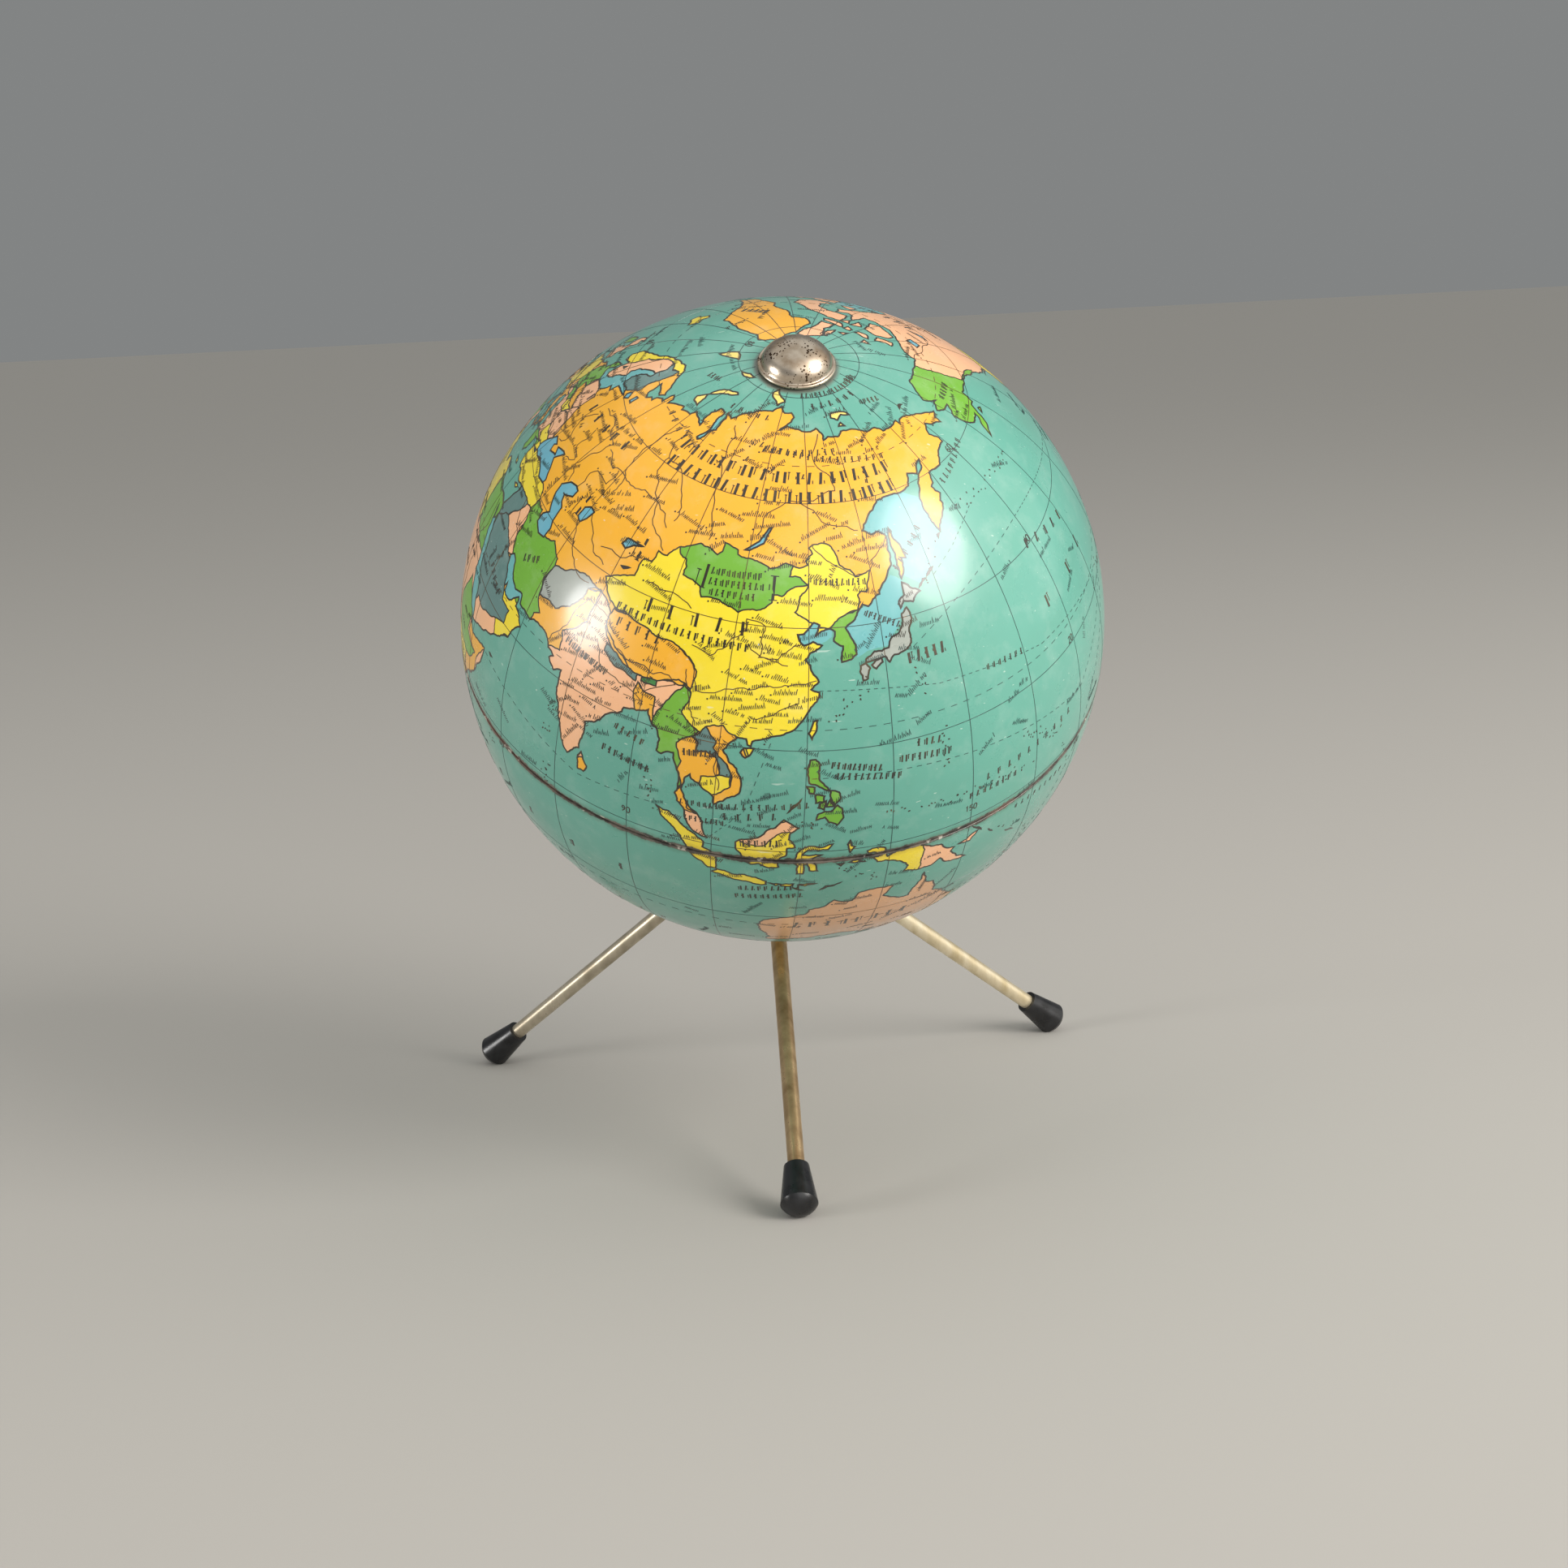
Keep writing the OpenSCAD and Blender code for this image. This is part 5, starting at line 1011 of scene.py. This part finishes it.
# Great names: (lon, lat) of the two ends, how many strokes, how high in mm. Each is a row of bars in
# pairs, one fat and one thin, with short feet
GREAT = """68 63.6 153 63.3 20 2.5; 69 60.1 151 60 23 2.5; 83 37.7 109.5 38.2 5 2.8;
79 36 108.5 35.7 20 1.5; 80 33.6 91 33.4 5 1.8; 119.5 47 133.5 46.3 11 1.3; 55 44 58 44 1 5;
76.5 44.3 79.5 44.3 1 5; 93.5 44.2 96.5 44.2 1 5; 110.5 44.2 113.5 44.2 1 5; 96.8 46.7 109.2 47.2 10 1.3;
96.8 45 110 45.6 10 1.3; 97.5 43.4 108.4 43.8 8 1.3; 71.5 26.5 82 25 14 1.4; 98.8 16.7 104.8 17.5 8 1.4;
109.5 0.5 116.6 1.2 6 1.8; 139.3 32.6 148 32.8 5 2.2; 124 16.9 133 15.4 10 1.4;
124.5 14.9 136.5 13.4 11 1.4; 139 18.6 144.2 18 4 1.5; 135.7 16.4 146 15.4 9 1.5; 105.5 8 121 9.5 12 1.3;
84 12.5 93.5 11.5 8 1.5; 85.5 17.4 92 16 5 1.4; 152 7 176 8 10 1.5; 149 4.6 160 4.4 8 1.4;
175 29.2 177 29.2 1 2.8; 186 29.4 188 29.4 1 2.8; 194 29.6 196 29.6 1 2.8; 65 -15.6 67 -15.6 1 2.2;
76 -15.5 78 -15.5 1 2.2; 87 -14.6 89 -14.6 1 2.2; 55 -14 57 -14 1 2.2; 106 5.8 116 7 5 1.6;
99 7.4 107 8 8 1.2; 100 4.4 107 4.6 8 1.2; 117 80 187 80 15 1.3; 98 69.3 153 65.6 18 1.2;
90 66.6 147 62 5 1; 131.5 41.6 139 38.6 8 1.2; 119 -25 143 -25 8 3; 109.5 -11 120.5 -9.9 10 1.5;
109 -13.6 121 -12.3 11 1.5; 70 74 100 74.5 5 1.2; 124 77.5 168 78 6 1.4; 38 74.5 48 76 4 1.3;
162 76 176 74.5 5 1.2; 50 66.5 74 64 5 1.4; 20 52 56 57 6 2.2; 100 68.5 134 68.5 10 1.3;
141 47 152 53 6 1.4; 166 57 186 60 9 1.3; 57 33.5 52 31 4 1.5; 43 24 50 22 5 1.5; -110 60 -80 60 6 2.6;
-115 40 -80 38 9 3; -65 -10 -45 -10 6 3; 0 22 28 20 7 3; -45 40 -25 30 5 2.6; -140 10 -110 5 7 2.6;
-150 -30 -110 -35 8 2.6; -30 -20 -10 -30 6 2.4; 60 -30 95 -35 7 2.4; 176 40 196 36 5 2; 155 27 165 26 7 1.2;
160 -4 175 -5 9 1.2; -48 72 -38 68 5 2; -160 65 -148 64 5 1.4"""
FAT_BARS = ".25 0 .25 1; .7 0 .7 1; .3 0 .5 1; .45 0 .45 1"
THIN_BARS = """.68 .3 .68 1 .1 0 .42 0 .55 1 .84 1; .25 0 .25 .7 .55 0 .86 0 .1 .7 .38 .7;
.12 0 .46 0 .36 1 .68 1 .78 0 .78 .3; .22 1 .7 1 .22 0 .7 0 .2 .4 .2 .65"""
BAR_MIDDLE = (0.45, 0.0)
BAR_WIDTH = 0.72
fat_bars, thin_bars = [
    [bars.reshape(-1, 2, 2) for bars in outlines(book)] for book in (FAT_BARS, THIN_BARS)
]
fat_lines, thin_lines = [], []
for lon0, lat0, lon1, lat1, letters, high in rows(GREAT, 6):
    letters = int(letters)
    share = (np.arange(letters) + 0.5) / letters
    spots = np.stack([lon0 + (lon1 - lon0) * share, lat0 + (lat1 - lat0) * share], 1)
    run = np.cos(np.radians(lat0)) * (lon1 - lon0)
    slope = np.full(letters, np.degrees(np.arctan2(lat1 - lat0, run)) if letters > 1 else 0.0)
    slope = np.where(np.abs(slope) > 90, slope + 180, slope)
    which = chance.integers(0, 4, letters)
    for spot, tilt, w in zip(spots, slope, which):
        for book, out in ((fat_bars, fat_lines), (thin_bars, thin_lines)):
            bars = (book[w] - BAR_MIDDLE) * (BAR_WIDTH * high, high)
            many = np.tile(spot, (len(bars), 1))
            out.append((drawn_at(many, swung(bars, np.full(len(bars), tilt))), high))
for low, high, pen, tag in ((0, 1.35, 0.28, "small"), (1.35, 2, 0.38, "middle"), (2, 9, 0.6, "great")):
    some = [lines for lines, tall in fat_lines if low <= tall < high]
    film("name_bars_" + tag, np.concatenate(some), pen * MM, black_ink)
film("name_feet_ink", np.concatenate([lines for lines, _ in thin_lines]), 0.2 * MM, black_ink)

# Degree figures: for each of 0 to 9, a bent line on a grid of 1 by 2
DIGITS = outlines("""0 .4 .3 0 .7 0 1 .4 1 1.6 .7 2 .3 2 0 1.6 0 .4; .2 1.6 .6 2 .6 0;
0 1.6 .3 2 .8 2 1 1.5 0 0 1 0; 0 1.8 .5 2 1 1.6 .5 1.1 1 .5 .5 0 0 .2; .8 0 .8 2 0 .6 1 .6;
1 2 .1 2 0 1.1 .7 1.2 1 .6 .6 0 0 .1; .9 2 .2 1.3 0 .6 .4 0 .8 0 1 .5 .7 1 .2 .9; 0 2 1 2 .4 0;
.5 1.1 .1 1.6 .5 2 .9 1.6 .5 1.1 0 .5 .5 0 1 .5 .5 1.1; .1 0 .8 .7 1 1.4 .6 2 .2 2 0 1.5 .3 1 .9 1.2""")
figures = []
marks = [(lon, 1.6 if lon % 60 else -3.4, str(min(lon, 360 - lon))) for lon in range(30, 360, 30)]
marks += [(179.0 + east, lat, str(lat)) for lat in (20, 40, 60, 80) for east in (0, 90, 180)]
for lon, lat, text in marks:
    for place, digit in enumerate(text):
        bent = DIGITS[int(digit)] * 0.75 + (place * 1.1 - 0.55 * len(text), 0.3)
        figures.append(drawn_at(np.tile((lon, lat), (len(bent) - 1, 1)), pairs(bent)))
film("degree_figures", np.concatenate(figures), 0.24 * MM, black_ink)

# ---------------------------------------------------------------- axle, bushes and washers
# A plated steel rod runs right through the globe. It turns in flanged bushes that are rolled over
# backing washers, and the fibre washers and the coned spring keep a light drag on it.
PIT = (74, 58, 44)


def worn_metal(name, clean, stained, scale, smooth, dull, metallic=1.0, stretch=(1, 1, 1), pitted=0.0):
    """Metal whose polish goes cloudy and stained in patches of about 1 / scale metres, drawn out by
    `stretch`, with fine tooling marks and, if pitted, dark corroded specks."""
    metal = Finish(name, {"Metallic": metallic})
    along = metal.moved(scale=stretch)
    clouds = metal.noise(scale, 6.0, where=along)
    stain = metal.ramp(clouds, (0.4, 0.0), (0.68, 1.0))
    colour = metal.mixed(solid(clean), solid(stained), stain)
    if pitted:
        damp = metal.noise(scale * 0.9, 3.0, where=along)
        crowd = metal.ramp(damp, (0.42, 0.02), (0.72, 0.62 * pitted))
        pits = metal.math("LESS_THAN", metal.cells(scale * 6), crowd)
        colour = metal.mixed(colour, solid(PIT), pits)
    marks = metal.bumped(metal.noise(scale * 14, 3.0, where=along), 0.12, 0.05 * MM)
    rough = metal.ramp(clouds, (0.35, smooth), (0.7, dull))
    metal.set({"Base Color": colour, "Roughness": rough, "Normal": marks})
    return metal.material


def finish_node(material, *names):
    for name in names:
        mesh = frame["nodes"][name].data
        mesh.materials.clear()
        mesh.materials.append(material)


plated = worn_metal("plated_steel", (176, 172, 164), (120, 108, 92), 300, 0.25, 0.5)
finish_node(plated, "axle_rod", "north_bush", "south_bush", "north_backing_washer")
finish_node(plated, "south_backing_washer", "spring_washer", "lock_washer", "hub_nut", "leg_nuts")
fibre = worn_metal("vulcanised_fibre", (122, 62, 38), (84, 42, 28), 500, 0.5, 0.7, metallic=0.0)
finish_node(fibre, "top_washer", "thrust_washer")

# ---------------------------------------------------------------- the cap nut
# A spun brass cap, nickelled, that screws on the axle and hides its washers. Its dome runs out into a
# flared brim that ends in a rolled lip, and decades of damp have pitted the plating.
CAP_R = 8.5 * MM
CAP_LIP = 0.8 * MM
CAP_H = 5.6 * MM
CAP_BRIM = 0.9 * MM
CAP_SEAT = 77.0 * MM
CAP_FLOAT = 0.35 * MM
POCKET_R = 6.5 * MM


def turned(name, outline, count, move, body, material):
    """A solid turned round +Z from an outline of (radius, height) whose ends lie on the axis, then
    moved: point (k, j) is (r cos a, r sin a, z), with a going round in `count` steps."""
    turn = 2 * np.pi * np.arange(count) / count
    r, z = np.array(outline[1:-1]).T
    grid = np.stack([
        r[:, None] * np.cos(turn), r[:, None] * np.sin(turn), np.repeat(z[:, None], count, 1)
    ], -1).reshape(-1, 3)
    poles = np.array([(0, 0, outline[0][1]), (0, 0, outline[-1][1])])
    points = np.concatenate([grid, poles])
    j = np.arange(count)
    k = np.arange(len(r) - 1)[:, None] * count
    after = (j + 1) % count
    quads = np.stack([k + j, k + after, k + count + after, k + count + j], -1).reshape(-1, 4)
    low, high = len(grid), len(grid) + 1
    last = (len(r) - 1) * count
    ends = [(low, int(b), int(a)) for a, b in zip(j, after)]
    ends += [(high, int(last + a), int(last + b)) for a, b in zip(j, after)]
    mesh = bpy.data.meshes.new(name)
    mesh.from_pydata(move(points), [], quads.tolist() + ends)
    mesh.update()
    mesh.shade_smooth()
    mesh.set_sharp_from_angle(angle=np.radians(40))
    mesh.materials.append(material)
    return show(name, mesh, body)


def arc(centre, radius, start, end, steps):
    """Points (radius, height) on an arc, from one angle to another in degrees. A pair of radii
    makes it part of an ellipse."""
    across, up = radius if isinstance(radius, tuple) else (radius, radius)
    a = np.radians(np.linspace(start, end, steps))
    return list(zip(centre[0] + across * np.cos(a), centre[1] + up * np.sin(a)))


cap_z = np.sqrt(GLOBE_R**2 - CAP_R**2) + CAP_FLOAT
seat_z = CAP_SEAT - cap_z
bead = CAP_LIP / 2
dome_r = CAP_R - CAP_BRIM
dome_foot = 0.9 * CAP_LIP
cap_outline = [
    (0, seat_z),
    (POCKET_R * 0.5, seat_z),
    (POCKET_R - 0.2 * MM, seat_z),
    (POCKET_R, seat_z - 0.2 * MM),
    (POCKET_R, 0.5 * MM),
    (POCKET_R + 0.1 * MM, 0.05 * MM),
    (CAP_R - 2 * bead, 0.02 * MM),
    *arc((CAP_R - bead, bead), bead, -90, 75, 12),
    *arc((dome_r + 0.42 * MM, dome_foot + 0.5 * MM), (0.40 * MM, 0.42 * MM), -60, -160, 6),
    *arc((0, dome_foot), (dome_r, CAP_H - dome_foot), 10, 89, 28),
    (0, CAP_H),
]


def on_pole(points):
    return standing(points + np.array([0, 0, cap_z]))


nickel = worn_metal("pitted_nickel", (206, 192, 174), (156, 136, 114), 260, 0.27, 0.42, pitted=0.9)
cap = turned("cap_nut", cap_outline, 96, on_pole, "stand", nickel)
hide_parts("top_cap")

# ---------------------------------------------------------------- the hub and its nuts
# A turned steel disc, blued grey, square to the axle. The three legs screw into it and are locked by
# thin nuts on spot-faced seats; one nut on a lock washer holds the axle.
blued = worn_metal("blued_hub", (118, 116, 112), (84, 78, 70), 160, 0.3, 0.5)
finish_node(blued, "hub")

# ---------------------------------------------------------------- the legs
# Three equal rods of drawn brass, lacquered once. The front one has gone brown, the left one greyish
# and the right one pale, with fine marks along their length.


def drawn_rod(name, clean, stained):
    """Brass drawn along its rod: stains stretch along +Z, which is near the rods' way."""
    return worn_metal(name, clean, stained, 240, 0.26, 0.42, metallic=0.7, stretch=(1, 1, 0.18))


LEGS = (
    ("leg_front", (188, 160, 120), (138, 112, 78)),
    ("leg_left", (206, 194, 172), (166, 154, 132)),
    ("leg_right", (244, 230, 200), (208, 190, 150)),
)
for node, clean, stained in LEGS:
    finish_node(drawn_rod(node + "_brass", clean, stained), node)

# ---------------------------------------------------------------- the feet
# Moulded black rubber tips pushed on the rods. Each is a slim cone with a rounded mouth, a mould line
# where its shallow domed end begins, and a small flat worn by the table.


def rubber():
    """Old rubber: near black, a little shiny where it is handled, with a dusty bloom."""
    tip = Finish("black_rubber", {})
    bloom = tip.noise(260, 6.0)
    dusty = tip.ramp(bloom, (0.4, 0.0), (0.8, 1.0))
    colour = tip.mixed(solid((16, 16, 18)), solid((40, 40, 42)), dusty)
    grain = tip.bumped(tip.noise(3500), 0.2, 0.05 * MM)
    rough = tip.ramp(bloom, (0.0, 0.16), (1.0, 0.44))
    tip.set({"Base Color": colour, "Roughness": rough, "Normal": grain})
    return tip.material


finish_node(rubber(), "foot_front", "foot_left", "foot_right")

# ---------------------------------------------------------------- table, lights and camera
# A plain pale table and soft studio light: a broad window-like panel and a wide glow on the right, a
# smaller panel on the left, a fill in front, a pale ceiling over it all, and a dim pale surround.
WHOLE = bpy.context.scene


def lamp(name, kind, way, far, energy, colour):
    """A light that stands off from the globe along `way` and faces it."""
    light = bpy.data.lights.new(name, kind)
    light.energy = energy
    light.color = colour
    stand = bpy.data.objects.new(name, light)
    way = Vector(way).normalized()
    stand.location = Vector(CENTRE) + way * far
    stand.rotation_mode = "QUATERNION"
    stand.rotation_quaternion = way.to_track_quat("Z", "Y")
    WHOLE.collection.objects.link(stand)
    return light


def panel(name, way, far, size, power, colour):
    """A soft round panel of light."""
    light = lamp(name, "AREA", way, far, power, colour)
    light.shape = "ELLIPSE"
    light.size, light.size_y = size


panel("right_window", (0.73, -0.54, 0.41), 1.5, (0.78, 0.95), 21, (1.0, 0.96, 0.92))
panel("right_glow", (0.95, -0.15, 0.3), 1.7, (2.2, 2.2), 9, (1.0, 0.98, 0.92))
panel("left_window", (-0.945, -0.305, 0.11), 1.6, (0.52, 0.52), 11, (1.0, 0.99, 0.97))
panel("front_fill", (0.3, -0.85, 0.35), 2.4, (2.4, 2.0), 11.5, (1.0, 1.0, 0.97))

# The ceiling is a wide disc of sky, so that it lights the whole table alike
ceiling = lamp("ceiling", "SUN", (0.1, -0.25, 1.0), 1.0, 1.1, (1.0, 1.0, 0.97))
ceiling.angle = np.radians(110)

world = bpy.data.worlds.new("pale_room")
world.use_nodes = True
feed(world.node_tree.nodes["Background"], {"Color": (0.66, 0.68, 0.68, 1), "Strength": 0.34})
WHOLE.world = world
WHOLE.view_settings.view_transform = "Standard"

TABLE = 9
table = bpy.data.meshes.new("table")
corners = [(-TABLE, -TABLE, 0), (TABLE, -TABLE, 0), (TABLE, TABLE, 0), (-TABLE, TABLE, 0)]
table.from_pydata(corners, [], [(0, 1, 2, 3)])
paint = {"Base Color": (0.44, 0.42, 0.39, 1), "Roughness": 0.9, "Specular IOR Level": 0.2}
table.materials.append(Finish("pale_table", paint).material)
table = bpy.data.objects.new("table", table)
WHOLE.collection.objects.link(table)

lens = bpy.data.cameras.new("camera")
lens.sensor_width = 36
lens.lens = 59.63
lens.clip_start, lens.clip_end = 0.05, 20
camera = bpy.data.objects.new("camera", lens)
EYE = np.array([-24.59, -604.9, 82.07]) * MM
LOOK_RIGHT, LOOK_DOWN, ROLL = 2.185, 11.30, 2.744
looking = about("Z", -LOOK_RIGHT) @ about("X", 90 - LOOK_DOWN) @ about("Z", -ROLL)
camera.matrix_world = Matrix.Translation(CENTRE + EYE) @ Matrix(looking.tolist()).to_4x4()
WHOLE.collection.objects.link(camera)
WHOLE.camera = camera
